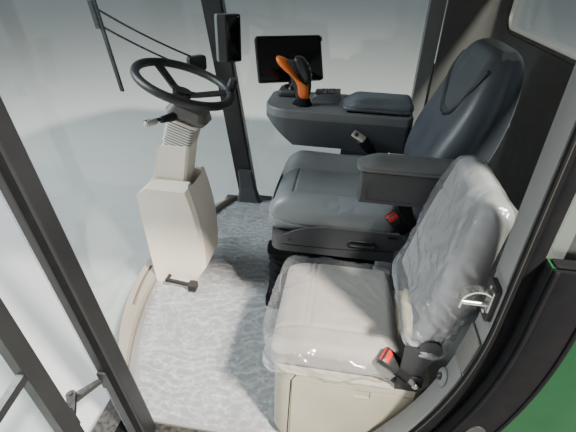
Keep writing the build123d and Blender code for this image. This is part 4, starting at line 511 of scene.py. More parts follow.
def subdivide(piece, levels=1):
    """Applies a subdivision surface."""
    piece.modifiers.new("smooth", "SUBSURF").levels = levels
    piece.modifiers["smooth"].render_levels = levels
    evaluated = piece.evaluated_get(bpy.context.evaluated_depsgraph_get())
    fine = bpy.data.meshes.new_from_object(evaluated)
    piece.modifiers.clear()
    piece.data = fine


def surface_of(piece):
    """A search tree over the mesh of a piece."""
    bpy.context.view_layer.update()
    return BVHTree.FromObject(piece, bpy.context.evaluated_depsgraph_get())


def laid_on(tree, path, lift):
    """The path moved onto a surface, and lifted off it along the normal."""
    laid = []
    for point in path:
        near, normal, _, _ = tree.find_nearest(Vector(point))
        laid.append(near + normal * lift)
    return laid


def resample(path, pitch):
    """Points along a path at an even pitch."""
    points = np.array([tuple(p) for p in path], float)
    lengths = np.concatenate([[0], np.cumsum(np.linalg.norm(np.diff(points, axis=0), axis=1))])
    wanted = np.linspace(0, lengths[-1], max(2, int(round(lengths[-1] / pitch)) + 1))
    return [Vector([float(np.interp(w, lengths, points[:, a])) for a in range(3)]) for w in wanted]


def tube_faces(rings, around, base=0, closed=False):
    """Quads between rings of points, with end faces unless the rings close on themselves."""
    faces = []
    for ring in range(rings if closed else rings - 1):
        here, ahead = base + ring * around, base + (ring + 1) % rings * around
        for i in range(around):
            j = (i + 1) % around
            faces.append((here + i, here + j, ahead + j, ahead + i))
    if not closed:
        last = base + (rings - 1) * around
        faces.append(tuple(range(base, base + around))[::-1])
        faces.append(tuple(range(last, last + around)))
    return faces


def circle(sides):
    """Turns round a circle, with their cosines and sines."""
    turns = [2 * math.pi * i / sides for i in range(sides)]
    return [(turn, math.cos(turn), math.sin(turn)) for turn in turns]


def ring_points(foot, along, profile, sides):
    """Rings of points round an axis; profile is a list of (distance along the axis, radius)."""
    side = along.orthogonal().normalized()
    other = along.cross(side)
    return [foot + along * far + (side * c + other * s) * radius
            for far, radius in profile for _, c, s in circle(sides)]


def sweep(name, path, section, look, body, slot=None, closed=False, up=None):
    """A mesh swept along a path: section is a list of (sideways, upwards) points in metres."""
    path = [Vector(p) for p in path]
    count = len(path)
    points = []
    guide = Vector(up) if up is not None else None
    previous = None
    for i, here in enumerate(path):
        ahead = path[(i + 1) % count] if closed else path[min(i + 1, count - 1)]
        behind = path[i - 1] if closed or i else path[0]
        along = (ahead - behind).normalized()
        upper = guide if guide is not None else previous
        if upper is None:
            upper = Vector((0, 0, 1)) if abs(along.z) < 0.9 else Vector((1, 0, 0))
        side = along.cross(upper).normalized()
        upper = side.cross(along).normalized()
        previous = upper
        points += [here + side * s + upper * u for s, u in section]
    return place_mesh(name, points, tube_faces(count, len(section), closed=closed), look, body, slot)


def round_section(radius, sides=10):
    return [(radius * c, radius * s) for _, c, s in circle(sides)]


def flat_section(width, thick):
    """A strap's section with eased edges."""
    w, t = width / 2, thick / 2
    return [(-w + t, -t), (w - t, -t), (w, 0), (w - t, t), (-w + t, t), (-w, 0)]


def turned(name, foot, along, profile, look, body, slot=None, sides=32):
    """A turned piece on an axis: profile is a list of (distance along the axis, radius)."""
    points = ring_points(Vector(foot), Vector(along).normalized(), profile, sides)
    return place_mesh(name, points, tube_faces(len(profile), sides), look, body, slot)


def soft_block(name, middle, half, radius, look, body, step=0.004, turn=None, shape=None):
    """A rounded block, reshaped by a function of its local points, then turned and placed."""
    points, quads = block(half, radius, step)
    if shape is not None:
        points = shape(points)
    if turn is not None:
        points = points @ np.array(turn).T
    return place_mesh(name, points + np.array(middle), quads, look, body)


def rounded_outline(width, high, radius, sides=6):
    """Corner points of a rounded rectangle, in its plane."""
    far_x, far_y = width / 2 - radius, high / 2 - radius
    outline = []
    for start, (mid_x, mid_y) in enumerate(((far_x, far_y), (-far_x, far_y), (-far_x, -far_y),
                                            (far_x, -far_y))):
        for i in range(sides + 1):
            turn = (start + i / sides) * math.pi / 2
            outline.append((mid_x + radius * math.cos(turn), mid_y + radius * math.sin(turn)))
    return outline


def plate(name, at, across, outward, size, radius, levels, look, body, slot=None):
    """A rounded plate or button: size is (width, height), levels are (inset, distance outward)."""
    outward = Vector(outward).normalized()
    across = (Vector(across) - outward * Vector(across).dot(outward)).normalized()
    upwards = outward.cross(across)
    points = []
    for inset, far in levels:
        width, high = size[0] - 2 * inset, size[1] - 2 * inset
        for u, v in rounded_outline(width, high, max(0.0002, radius - inset)):
            points.append(Vector(at) + across * u + upwards * v + outward * far)
    faces = tube_faces(len(levels), len(points) // len(levels))
    return place_mesh(name, points, faces, look, body, slot)


def raised(thick, edge=0.001):
    """Levels of a plate with a softened rim."""
    return ((0, 0), (0, thick - edge), (0.3 * edge, thick - 0.3 * edge), (edge, thick))


def lofted(name, rows, look, body, around=40, square=0.8, levels=0):
    """A closed form through oval rows of (centre, half across, half deep), each a vector."""
    points = []
    for centre, across, deep in rows:
        for _, c, s in circle(around):
            points.append(Vector(centre) + Vector(across) * math.copysign(abs(c) ** square, c)
                          + Vector(deep) * math.copysign(abs(s) ** square, s))
    piece = place_mesh(name, points, tube_faces(len(rows), around), look, body)
    if levels:
        subdivide(piece, levels)
    return piece


SCREW_RINGS = ((1.0, 0.0), (1.0, 0.25), (0.86, 0.5), (0.6, 0.58), (0.48, 0.58), (0.42, 0.2))
SCREW_SIDES = 24


def screw_head(name, at, outward, radius, look, body):
    """A pan-head screw with a six-lobed recess."""
    outward = Vector(outward).normalized()
    side = outward.orthogonal().normalized()
    other = outward.cross(side)
    points = []
    for share, far in SCREW_RINGS:
        for turn, c, s in circle(SCREW_SIDES):
            lobe = 1 + (0.16 * math.cos(6 * turn) if share < 0.5 else 0)
            points.append(Vector(at) + outward * (far * radius)
                          + (side * c + other * s) * (radius * share * lobe))
    return place_mesh(name, points, tube_faces(len(SCREW_RINGS), SCREW_SIDES), look, body)


def stitches(name, path, look, body, pitch=0.007, length=0.0045, thick=0.0007):
    """A row of raised threads along a path."""
    spots = resample(path, pitch)
    profile = ((0, 0.4 * thick), (0.25 * length, thick), (0.75 * length, thick), (length, 0.4 * thick))
    sides = 5
    points, faces = [], []
    for here, ahead in zip(spots[:-1], spots[1:]):
        faces += tube_faces(len(profile), sides, len(points))
        points += ring_points(here, (ahead - here).normalized(), profile, sides)
    return place_mesh(name, points, faces, look, body)


# Operator's seat cushion: raised bolsters, centre panel with two long seams and a rolled front
CUSHION_MID = Vector((0, 0.130, 0.732))
CUSHION_HALF = (0.252, 0.252, 0.080)
CUSHION_SEAM = 0.118


def cushion_shape(p):
    x, y, z = p.T.copy()
    top = step_up(z, -0.02, 0.06)
    bolster = step_up(np.abs(x), CUSHION_SEAM - 0.01, 0.205)
    z = z - top * (0.046 * (1 - bolster))
    z = z - top * 0.050 * step_up(-y, 0.15, 0.27) ** 1.5
    z = z + top * 0.006 * np.cos(np.clip(x / CUSHION_SEAM, -1, 1) * math.pi / 2) * (1 - bolster)
    x = x * (1 - 0.035 * step_up(-y, 0.08, 0.26) - 0.02 * step_up(-z, 0.0, 0.08))
    y = y + 0.010 * (x / 0.25) ** 2 * step_up(-y, 0.1, 0.25)
    return np.stack([x, y, z], axis=1)


def cushion_seams(at, width, low, high):
    """How near points are to the cushion's two long seams and its cross seam."""
    side = np.abs(at[:, 0])
    cross = bell(at[:, 1] + 0.030, width) * (side < CUSHION_SEAM) * (at[:, 2] > 0.72)
    return np.maximum(bell(side - CUSHION_SEAM, width) * step_up(at[:, 2], low, high), cross)


cushion = soft_block("seat_cushion_cover", CUSHION_MID, CUSHION_HALF, 0.040, "seat", "seat", 0.007,
                     shape=cushion_shape)
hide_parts("seat_cushion")
at = coordinates(cushion)
held = np.maximum(cushion_seams(at, 0.006, 0.70, 0.74), at[:, 2] < 0.660)
swell(cushion, np.round(held, 2), 3.0, 14, 0.006)
subdivide(cushion)
at = coordinates(cushion)
belt = bell(at[:, 2] - 0.700 - 0.020 * step_up(-at[:, 1], 0.0, 0.12), 0.004) * (np.abs(at[:, 0]) > 0.2)
push_out(cushion, -0.0045 * np.maximum(cushion_seams(at, 0.0045, 0.69, 0.72), belt))

# Operator's backrest: narrow headrest, side bolsters and a hollow centre panel
BACK_ROWS = np.array((  # height above the floor, front, rear, half width
    (0.532, 0.470, 0.545, 0.205), (0.560, 0.440, 0.560, 0.232), (0.640, 0.413, 0.585, 0.243),
    (0.720, 0.409, 0.612, 0.245), (0.829, 0.434, 0.655, 0.245), (0.930, 0.477, 0.676, 0.242),
    (1.005, 0.509, 0.685, 0.230), (1.060, 0.530, 0.688, 0.214), (1.110, 0.552, 0.684, 0.195),
    (1.145, 0.577, 0.672, 0.172), (1.163, 0.604, 0.655, 0.135)))
BACK_HIGHS, BACK_FRONTS, BACK_REARS = BACK_ROWS[:, 0], BACK_ROWS[:, 1], BACK_ROWS[:, 2]
BACK_AROUND = 88
BACK_COUNT = 84
HEADREST_FOOT = 0.95


def smooth_rows(rows, count):
    """Rows from a smooth curve through a table."""
    made = []
    for value in np.linspace(0, len(rows) - 1, count):
        i = min(int(value), len(rows) - 2)
        f = value - i
        p0, p1, p2, p3 = rows[max(i - 1, 0)], rows[i], rows[i + 1], rows[min(i + 2, len(rows) - 1)]
        made.append(0.5 * (2 * p1 + (p2 - p0) * f + (2 * p0 - 5 * p1 + 4 * p2 - p3) * f * f
                           + (3 * p1 - p0 - 3 * p2 + p3) * f ** 3))
    return made


def backrest_points():
    points = []
    for high, front, rear, half in smooth_rows(BACK_ROWS, BACK_COUNT):
        middle, deep = (front + rear) / 2, (rear - front) / 2
        hollow = 0.022
        if high >= HEADREST_FOOT:
            hollow -= 0.010 * min(1, (high - HEADREST_FOOT) / 0.08)
        for _, c, s in circle(BACK_AROUND):
            x = half * math.copysign(abs(c) ** 0.42, c)
            y = middle - deep * math.copysign(abs(s) ** 0.55, s)
            if s > 0:
                lift = float(step_up(abs(x) / half, 0.42, 0.80))
                y += hollow * (1 - lift) * min(1, (high - 0.53) / 0.05) * min(1, (1.163 - high) / 0.05)
            points.append((x, y, FLOOR + high))
    return points


backrest = place_mesh("seat_backrest_cover", backrest_points(), tube_faces(BACK_COUNT, BACK_AROUND), "seat",
                      "backrest")
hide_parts("seat_backrest")
subdivide(backrest)
at = coordinates(backrest)
out = vertex_normals(backrest)
facing = step_up(-out[:, 1], 0.2, 0.5)
high = at[:, 2] - FLOOR
side_seam = np.interp(high, BACK_HIGHS, 0.45 * BACK_FRONTS + 0.55 * BACK_REARS)
groove = bell(np.abs(at[:, 0]) - 0.112, 0.0045) * facing * (high < HEADREST_FOOT)
groove = np.maximum(groove, bell(high - HEADREST_FOOT, 0.0045) * facing * (np.abs(at[:, 0]) < 0.20))
groove = np.maximum(groove, bell(at[:, 1] - side_seam, 0.0045) * step_up(np.abs(out[:, 0]), 0.5, 0.8))
push_out(backrest, -0.004 * groove)
backrest.data.materials.append(M["seat_side"])
for polygon in backrest.data.polygons:
    if abs(polygon.normal.x) > 0.62 or polygon.normal.y > 0.35:
        polygon.material_index = 1

# Black trim round the headrest's lower edge, from (x, height above the floor)
TRIM_PATH = ((-0.190, 1.128), (-0.172, 1.070), (-0.128, 1.010), (-0.078, 0.965), (-0.030, 0.948),
             (0.030, 0.948), (0.078, 0.965), (0.128, 1.010), (0.172, 1.070), (0.190, 1.128))
path = [Vector((x, np.interp(high, BACK_HIGHS, BACK_FRONTS) - 0.02, FLOOR + high)) for x, high in TRIM_PATH]
sweep("headrest_trim", laid_on(surface_of(backrest), resample(path, 0.008), 0.0015),
      flat_section(0.030, 0.008), "seat_trim", "backrest")

# Buddy seat: cushion and backrest in clear bags
BUDDY_MID = (0.5675, 0.182, 0.590)
BUDDY_SEAM_X = 0.1225


def buddy_cushion_shape(p):
    x, y, z = p.T.copy()
    top = step_up(z, -0.01, 0.05)
    z = z - 0.016 * top * (np.abs(x) / 0.21) ** 3 - 0.018 * top * step_up(-y, 0.08, 0.19)
    cross = np.maximum(bell(y + 0.079, 0.005), bell(y + 0.097, 0.005)) * (x < BUDDY_SEAM_X)
    z = z - 0.005 * top * np.maximum(cross, bell(x - BUDDY_SEAM_X, 0.006))
    return np.stack([x, y, z], axis=1)


buddy_cushion = soft_block("buddy_cushion_cover", BUDDY_MID, (0.208, 0.184, 0.053), 0.034, "buddy", "cab",
                           0.005, shape=buddy_cushion_shape)
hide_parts("buddy_cushion")
BUDDY_LEAN = math.radians(12)
BUDDY_FOLD = Vector((0.5745, 0.430, 0.710))
BUDDY_UP = Vector((0, math.sin(BUDDY_LEAN), math.cos(BUDDY_LEAN)))
lean_turn = Matrix.Rotation(-BUDDY_LEAN, 3, "X")


def narrowed(z):
    """How much the width at a height shrinks towards the top of the backrest, from 0 to 1."""
    return np.clip((z - 0.01) / 0.21, 0, 1)


def buddy_back_shape(p):
    x, y, z = p.T.copy()
    front = step_up(-y, 0.0, 0.03)
    y = y + 0.010 * front * (1 - step_up(np.abs(x), 0.08, 0.17))
    y = y + 0.006 * front * np.maximum(bell(np.abs(x) - 0.085, 0.007), bell(z - 0.10, 0.007))
    return np.stack([x * (1 - 0.24 * narrowed(z)), y, z], axis=1)


# The backrest wears the darker copy of the buddy cloth, as painted shade.
buddy_back = soft_block("buddy_backrest_cover", BUDDY_FOLD + BUDDY_UP * 0.187, (0.200, 0.041, 0.226), 0.036,
                        "buddy_shade", "buddy_back", 0.006, lean_turn, buddy_back_shape)
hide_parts("buddy_backrest")

# Clear bags: an outer skin round each buddy cushion, slackened by Cloth and held off the cushion
SKIN_STEP = 0.0075
SKIN_GAP = 0.003
SEED_SIZE = 0.11


def dome(middle, half, radius, hem, turn=None, flare=0.0, taper=0.0):
    """The skin of a rounded block, open below the height of the hem and flared at it."""
    points, quads = block(half, radius, SKIN_STEP)
    keep = [q for q in quads if points[q][:, 2].mean() > hem]
    used = sorted({int(i) for q in keep for i in q})
    index = {old: new for new, old in enumerate(used)}
    points = points[used]
    low = step_up(-points[:, 2], -hem - 0.05, -hem)
    points[:, :2] *= (1 + flare * low)[:, None]
    points[:, 0] *= 1 - taper * narrowed(points[:, 2])
    if turn is not None:
        points = points @ np.array(turn).T
    return points + np.array(middle), [[index[int(i)] for i in q] for q in keep]


def crumple(piece, solid, slack, frames, held, cap):
    """Slackens a skin with Cloth and lets it settle round a solid; held points stay."""
    start = coordinates(piece)
    seeds = np.array([[fractal(Vector(p / SEED_SIZE + shift), 0.9, 2.1, 3) for shift in (0, 17, 43)]
                      for p in start])
    write_coordinates(piece, start + 0.007 * seeds * (1 - held)[:, None])
    blocker = bpy.data.objects.new("blocker", solid.data.copy())
    scene.collection.objects.link(blocker)
    blocker.modifiers.new("Collision", "COLLISION").settings.thickness_outer = SKIN_GAP
    settle(piece, start, held, frames, cap, 0.35, SKIN_GAP, quality=6, mass=0.05, tension_stiffness=20,
           compression_stiffness=20, bending_stiffness=0.9, shrink_min=-slack)
    bpy.data.objects.remove(blocker)


def paint_haze_and_reflections(piece, amount):
    """Stores how pale a film is at each point, from 0 to 1: its milkiness, and the highlights and reflections
    painted on it.
    """
    layer = piece.data.attributes.new("haze", "FLOAT", "POINT")
    layer.data.foreach_set("value", np.asarray(amount, np.float32))


points, faces = dome((0.5675, 0.178, 0.583), (0.220, 0.198, 0.068), 0.045, -0.062, None, 0.06)
bag = place_mesh("cushion_bag", points, faces, "bag", "cab")
crumple(bag, buddy_cushion, 0.05, 16, np.round(step_up(-points[:, 2], -0.545, -0.525), 1), 0.022)
subdivide(bag)
at = coordinates(bag)
GATHER = (0.640, 0.365)
RAYS = ((-3.02, 0.020), (-2.86, 0.016), (-2.62, 0.022), (-2.35, 0.016), (-2.1, 0.02), (-1.86, 0.015),
        (-1.55, 0.03), (-1.3, 0.02))  # direction and width of each pleat that starts at the gather
far = np.hypot(at[:, 0] - GATHER[0], at[:, 1] - GATHER[1])
turn = np.arctan2(at[:, 1] - GATHER[1], at[:, 0] - GATHER[0])
rays = sum(bell(turn - direction, width) for direction, width in RAYS)
rays = rays * step_up(-far, -0.34, -0.10) * step_up(far, 0.0, 0.05) * step_up(at[:, 2], 0.60, 0.63)
# Milkiness along the pleats, the lower hem and the corner; along the crumpled near hem the paleness is partly
# a painted highlight.
hem = bell(at[:, 2] - 0.590, 0.014) * step_up(at[:, 0], 0.73, 0.77) + bell(at[:, 2] - 0.535, 0.010) * 0.8
corner = bell(np.hypot(at[:, 0] - 0.80, at[:, 1] + 0.02), 0.05) * 0.7
push_out(bag, 0.0035 * rays + 0.002 * hem)
paint_haze_and_reflections(bag, np.clip(0.30 * rays + 0.9 * hem + corner, 0, 1))

points, faces = dome(BUDDY_FOLD + BUDDY_UP * 0.190, (0.214, 0.060, 0.245), 0.050, -0.225, lean_turn, 0.05,
                     0.20)
bag = place_mesh("backrest_bag", points, faces, "back_bag", "buddy_back")
crumple(bag, buddy_back, 0.07, 16, np.round(step_up(-points[:, 2], -0.70, -0.68), 1), 0.026)
subdivide(bag)
at = coordinates(bag)
edge = bell(at[:, 0] - (0.5745 + 0.205 - 0.16 * np.clip((at[:, 2] - 0.9) / 0.2, 0, 1)), 0.020)
crown, foot = step_up(at[:, 2], 1.08, 1.13), bell(at[:, 2] - 0.70, 0.020)
paint_haze_and_reflections(bag, np.clip(0.55 * edge + 0.5 * crown + 0.7 * foot, 0, 1))

# Protective film over the floor, with long ridges and a torn front edge
FILM_X = (-0.770, 0.790)
FILM_REAR = 0.240
FOLD_TURN = 0.6


def film_front(x):
    wave = 0.022 * fractal(Vector((x * 6, 3.1, 0)), 0.8, 2.2, 4)
    return -(0.700 - 0.30 * (x + 0.12) ** 2) - 0.015 + wave


def film_height(x, y):
    """Height of the film over the mat: broad swells, long fold ridges and fine crinkles."""
    broad = 0.0022 * (1 + fractal(Vector((x * 5, y * 5, 1.7)), 0.9, 2.1, 3))
    along = x * math.cos(FOLD_TURN) + y * math.sin(FOLD_TURN)
    across = y * math.cos(FOLD_TURN) - x * math.sin(FOLD_TURN)
    ridge = ridged_multi_fractal(Vector((along * 2.2, across * 9.0, 4.2)), 0.9, 2.2, 3, 0.95, 1.6)
    fine = fractal(Vector((x * 40, y * 30, 9.0)), 0.8, 2.1, 3)
    return max(0.0006, 0.001 + broad + 0.0030 * max(0, ridge - 0.9) + 0.0007 * fine)


def film_painted_reflection(x, y):
    """Painted reflections on the film: flowing fold lines that come and go, over a fine web of crinkles."""
    drift = fractal(Vector((x * 3.0, y * 3.0, 5.5)), 0.9, 2.1, 3)
    fold = (1 - abs(math.sin(math.pi * (x * 24 + y * 5 + 2.4 * drift)))) ** 5
    patch = max(0, 0.5 + 0.8 * fractal(Vector((x * 4, y * 4, 8.1)), 0.9, 2.1, 2))
    web = (1 - abs(fractal(Vector((x * 24, y * 18, 2.2)), 0.6, 2.1, 3))) ** 7
    return min(1.0, 0.45 * fold * patch + 0.22 * web)


FILM_CELLS = (300, 200)
points, faces, milk_and_painted_reflection = [], [], []
for i in range(FILM_CELLS[0] + 1):
    x = FILM_X[0] + (FILM_X[1] - FILM_X[0]) * i / FILM_CELLS[0]
    front = film_front(x)
    for j in range(FILM_CELLS[1] + 1):
        y = front + (FILM_REAR - front) * j / FILM_CELLS[1]
        points.append((x, y, FLOOR + film_height(x, y)))
        milk_and_painted_reflection.append(film_painted_reflection(x, y))
for i in range(FILM_CELLS[0]):
    for j in range(FILM_CELLS[1]):
        a = i * (FILM_CELLS[1] + 1) + j
        faces.append((a, a + 1 + FILM_CELLS[1], a + 2 + FILM_CELLS[1], a + 1))
floor_film = place_mesh("floor_sheet", points, faces, "floor_film", "cab")
# The floor film's pale lines are painted reflections in its folds.
paint_haze_and_reflections(floor_film, milk_and_painted_reflection)

# Main screen: glass front, red corner tab, and its back's cooling ribs
SCREEN_MID = Vector((-0.557, -0.154, 1.145))
SCREEN_YAW = math.radians(64)
SCREEN_TILT = 0.38
SCREEN_DIR = Vector((math.sin(SCREEN_YAW) * math.cos(SCREEN_TILT),
                     math.cos(SCREEN_YAW) * math.cos(SCREEN_TILT), math.sin(SCREEN_TILT)))
SCREEN_X = Vector((-math.cos(SCREEN_YAW), math.sin(SCREEN_YAW), 0))
SCREEN_UP = SCREEN_DIR.cross(SCREEN_X)
GLASS_LEVELS = raised(0.0014, 0.0008)
plate("display_glass", SCREEN_MID, SCREEN_X, SCREEN_DIR, (0.326, 0.206), 0.010, GLASS_LEVELS, "gloss", "seat")
plate("display_tab", SCREEN_MID + SCREEN_X * 0.170 + SCREEN_UP * 0.090 - SCREEN_DIR * 0.008, SCREEN_X,
      SCREEN_DIR, (0.012, 0.022), 0.003, raised(0.005), "red", "seat")
for i in range(7):
    rib_at = SCREEN_MID - SCREEN_DIR * 0.030 + SCREEN_X * (0.034 * i - 0.102) + SCREEN_UP * 0.02
    rib_high = 0.120 if abs(i - 3) > 1 else 0.030
    plate("display_rib_%d" % i, rib_at, SCREEN_X, -SCREEN_DIR, (0.006, rib_high), 0.002, raised(0.003),
          "black", "seat")

# Corner screen: dark glass in its brown housing
SIDE_DIR = Vector((0.82, 0.57, 0)).normalized()
SIDE_X = Vector((0.57, -0.82, 0)).normalized()
SIDE_MID = Vector((-0.7450, -0.51468, 1.190))
for name, place, size, radius, levels, look in (
        ("corner_bezel", -SIDE_X * 0.020, (0.088, 0.238), 0.009, raised(0.0050, 0.0020), "black"),
        ("corner_glass", -SIDE_X * 0.020 + SIDE_DIR * 0.005, (0.074, 0.220), 0.006, GLASS_LEVELS, "gloss"),
        ("corner_light", -SIDE_X * 0.050 + SIDE_DIR * 0.0063 + Vector((0, 0, 0.106)), (0.010, 0.003), 0.001,
         raised(0.0006, 0.0003), "pale_mark")):
    plate(name, SIDE_MID + place, SIDE_X, SIDE_DIR, size, radius, levels, look, "cab")

# Joystick: orange grip with a palm rest, black head with marked buttons, rubber boot
STICK = Vector((-0.360, -0.063, 0.980))


def stick_part(name, rows, look, around, square):
    """A part of the joystick from rows of (height, half across, half deep, shift to the rear, tilt)."""
    lofts = [(STICK + Vector((0, row[3], row[0])), Vector((row[1], 0, 0)),
              Vector((0, row[2], -row[4] if len(row) > 4 else 0))) for row in rows]
    return lofted("joystick_" + name, lofts, look, "seat", around, square, 1)


stick_part("grip", (
    (0.028, 0.012, 0.015, 0.004), (0.031, 0.023, 0.030, 0.004), (0.060, 0.023, 0.031, 0.003),
    (0.090, 0.024, 0.032, 0.000, 0.006), (0.108, 0.027, 0.038, -0.010, 0.016),
    (0.122, 0.032, 0.045, -0.030, 0.026), (0.140, 0.038, 0.048, -0.055, 0.028),
    (0.162, 0.040, 0.047, -0.075, 0.024), (0.184, 0.037, 0.042, -0.088, 0.018),
    (0.202, 0.027, 0.032, -0.095, 0.012), (0.209, 0.012, 0.016, -0.096, 0.005)), "orange", 40, 0.85)
head = stick_part("head", (
    (0.098, 0.010, 0.010, 0.022), (0.102, 0.019, 0.018, 0.020), (0.124, 0.027, 0.026, 0.014),
    (0.152, 0.030, 0.031, 0.003), (0.180, 0.030, 0.032, -0.010), (0.202, 0.027, 0.028, -0.020),
    (0.214, 0.020, 0.020, -0.025), (0.218, 0.009, 0.009, -0.026)), "black", 40, 0.75)
head_tree = surface_of(head)
BUTTONS = ((0.004, 0.205, 0.011, "yellow"), (-0.014, 0.190, 0.010, "black"), (0.016, 0.188, 0.010, "black"),
           (0.002, 0.176, 0.012, "pale_mark"), (0.020, 0.166, 0.009, "yellow"),
           (-0.012, 0.160, 0.010, "black"), (0.010, 0.148, 0.012, "black"), (-0.004, 0.132, 0.009, "yellow"))
for i, (side, high, wide, look) in enumerate(BUTTONS):
    button_at, button_out, _, _ = head_tree.find_nearest(STICK + Vector((side, 0.080, high + 0.02)))
    plate("joystick_button_%d" % i, button_at - button_out * 0.001, (1, 0, 0), button_out,
          (wide, wide * 0.8), wide * 0.3, raised(0.0035), look, "seat", "black_plastic")
stick_part("spine", ((0.045, 0.016, 0.014, 0.022), (0.060, 0.015, 0.013, 0.024),
                     (0.090, 0.015, 0.013, 0.026), (0.112, 0.017, 0.014, 0.024)), "black", 28, 0.85)
stick_part("boot", (
    (0.0005, 0.043, 0.049, 0), (0.006, 0.042, 0.048, 0), (0.010, 0.034, 0.040, 0), (0.014, 0.037, 0.043, 0),
    (0.018, 0.029, 0.036, 0.001), (0.022, 0.031, 0.038, 0.002), (0.027, 0.025, 0.032, 0.003),
    (0.036, 0.022, 0.029, 0.004)), "seal", 40, 0.9)

# Keys on the console's pod, and the knobs in front of the screen
POD_OUT = Vector((0, -math.sin(0.065), math.cos(0.065)))
MARK_LEVELS = raised(0.0004, 0.0002)
plate("pod_cover", (-0.495, 0.046, 1.0118), (1, 0, 0), POD_OUT, (0.104, 0.122), 0.014,
      raised(0.0030, 0.0015), "black", "seat")
for row in range(2):
    for column in range(4):
        tag = "%d_%d" % (row, column)
        at = Vector((-0.526 + 0.024 * column, 0.030 + 0.034 * row, 1.0135 + 0.0022 * row))
        plate("key_" + tag, at, (1, 0, 0), POD_OUT, (0.019, 0.026), 0.003, raised(0.0045), "black", "seat")
        plate("key_mark_" + tag, at + POD_OUT * 0.0045 + Vector((0, 0.005, 0)), (1, 0, 0), POD_OUT,
              (0.008, 0.004), 0.001, MARK_LEVELS, "yellow" if (row + column) % 2 else "pale_mark", "seat")
SWITCH_POD = Vector((-0.520, -0.150, 0.9795))
plate("switch_pod", SWITCH_POD, (1, 0, 0), (0, 0, 1), (0.120, 0.100), 0.020,
      ((0, 0), (0.001, 0.022), (0.004, 0.030), (0.012, 0.034)), "dark", "seat")
KNOB = ((0, 0.014), (0.002, 0.0142), (0.003, 0.0125), (0.014, 0.0115), (0.016, 0.0100))
for i, (shift, side) in enumerate(((-0.036, 0.014), (0.0, -0.012), (0.036, 0.014))):
    turned("switch_knob_%d" % i, SWITCH_POD + Vector((shift, side, 0.033)), (0, 0, 1), KNOB, "black", "seat")
    plate("switch_mark_%d" % i, SWITCH_POD + Vector((shift, side - 0.006, 0.049)), (1, 0, 0), (0, 0, 1),
          (0.0022, 0.008), 0.001, MARK_LEVELS, "pale_mark", "seat")


# Armrest and console pads: crowned covers with a piped edge
def pad_shape(crown, nose):
    def shape(p):
        x, y, z = p.T.copy()
        wide, long, deep = np.abs(p).max(axis=0)
        top = step_up(z, -0.002, deep)
        z = z + top * crown * (1 - (x / wide) ** 2)
        z = z - top * nose * step_up(-y, long - 0.09, long) ** 1.6
        x = x * (1 - 0.16 * step_up(-y, long - 0.08, long) ** 2)
        return np.stack([x, y, z], axis=1)
    return shape


def piped_pad(name, node, grow, crown, nose, look, body):
    low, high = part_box(node)
    middle = (low + high) / 2 + Vector((0, 0, 0.001))
    half = (high - low) / 2 + Vector(grow)
    pad = soft_block(name, middle, half, min(half) * 0.86, look, body, 0.005, shape=pad_shape(crown, nose))
    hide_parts(node)
    at = coordinates(pad)
    seam_z = middle.z - half.z * 0.28
    held = np.maximum(bell(at[:, 2] - seam_z, 0.004), at[:, 2] < middle.z - half.z * 0.8)
    swell(pad, np.round(held, 2), 3.0, 12, 0.004)
    subdivide(pad)
    push_out(pad, -0.0028 * bell(coordinates(pad)[:, 2] - seam_z, 0.003))
    outline = [(middle.x + u, middle.y + v, seam_z)
               for u, v in rounded_outline(2 * half.x, 2 * half.y, min(half.x, half.y) * 0.6, 8)]
    piping = laid_on(surface_of(pad), resample(outline, 0.004), 0.0003)
    stitches(name + "_stitches", piping, "thread", body, 0.006, 0.004, 0.0005)


piped_pad("armrest_pad", "armrest_lid", (0.010, 0.004, 0.002), 0.006, 0.018, "arm_pad", "armrest_cover")
piped_pad("console_pad", "console_lid", (0.004, 0.002, -0.002), 0.006, 0.030, "pad", "console_cover")

# Seat belts: stalks of webbing with buckles, and the tongue
BOOT_ROWS = ((0.022, 0.014, 0.005), (0.024, 0.018, 0.008), (0.050, 0.020, 0.010), (0.068, 0.024, 0.0125),
             (0.072, 0.022, 0.011))
BUCKLE_ROWS = ((0.064, 0.020, 0.010), (0.067, 0.0235, 0.0130), (0.100, 0.0250, 0.0140),
               (0.116, 0.0255, 0.0135), (0.121, 0.0240, 0.0115))


def buckle(tag, at, lean, outward, body, button):
    """A buckle in its boot on a webbing stalk that leans along a direction, flat side outward."""
    lean = Vector(lean).normalized()
    outward = (Vector(outward) - lean * Vector(outward).dot(lean)).normalized()
    across = lean.cross(outward)
    foot = Vector(at) - lean * 0.085
    path = resample([foot, foot + lean * 0.03 + outward * 0.003, Vector(at) - lean * 0.012], 0.006)
    strap = sweep(tag + "_stalk", path, flat_section(0.028, 0.0030), "webbing", body, up=outward)
    for part, rows, look, around, square in (("_boot", BOOT_ROWS, "seal", 36, 0.5),
                                             ("_buckle", BUCKLE_ROWS, "black", 44, 0.42)):
        lofted(tag + part, [(foot + lean * far, across * wide, outward * thick) for far, wide, thick in rows],
               look, body, around, square)
    plate(tag + "_button", foot + lean * 0.1208 + outward * 0.003, across, lean, (0.040, 0.011), 0.003,
          raised(0.0030), button, body, "orange_plastic")
    plate(tag + "_button_face", foot + lean * 0.108 + outward * 0.0135, across, outward, (0.036, 0.016),
          0.004, raised(0.0016), button, body, "orange_plastic")
    plate(tag + "_button_slot", foot + lean * 0.1212 - outward * 0.0055, across, lean, (0.030, 0.0035),
          0.0012, raised(0.0006, 0.0003), "gloss", body)


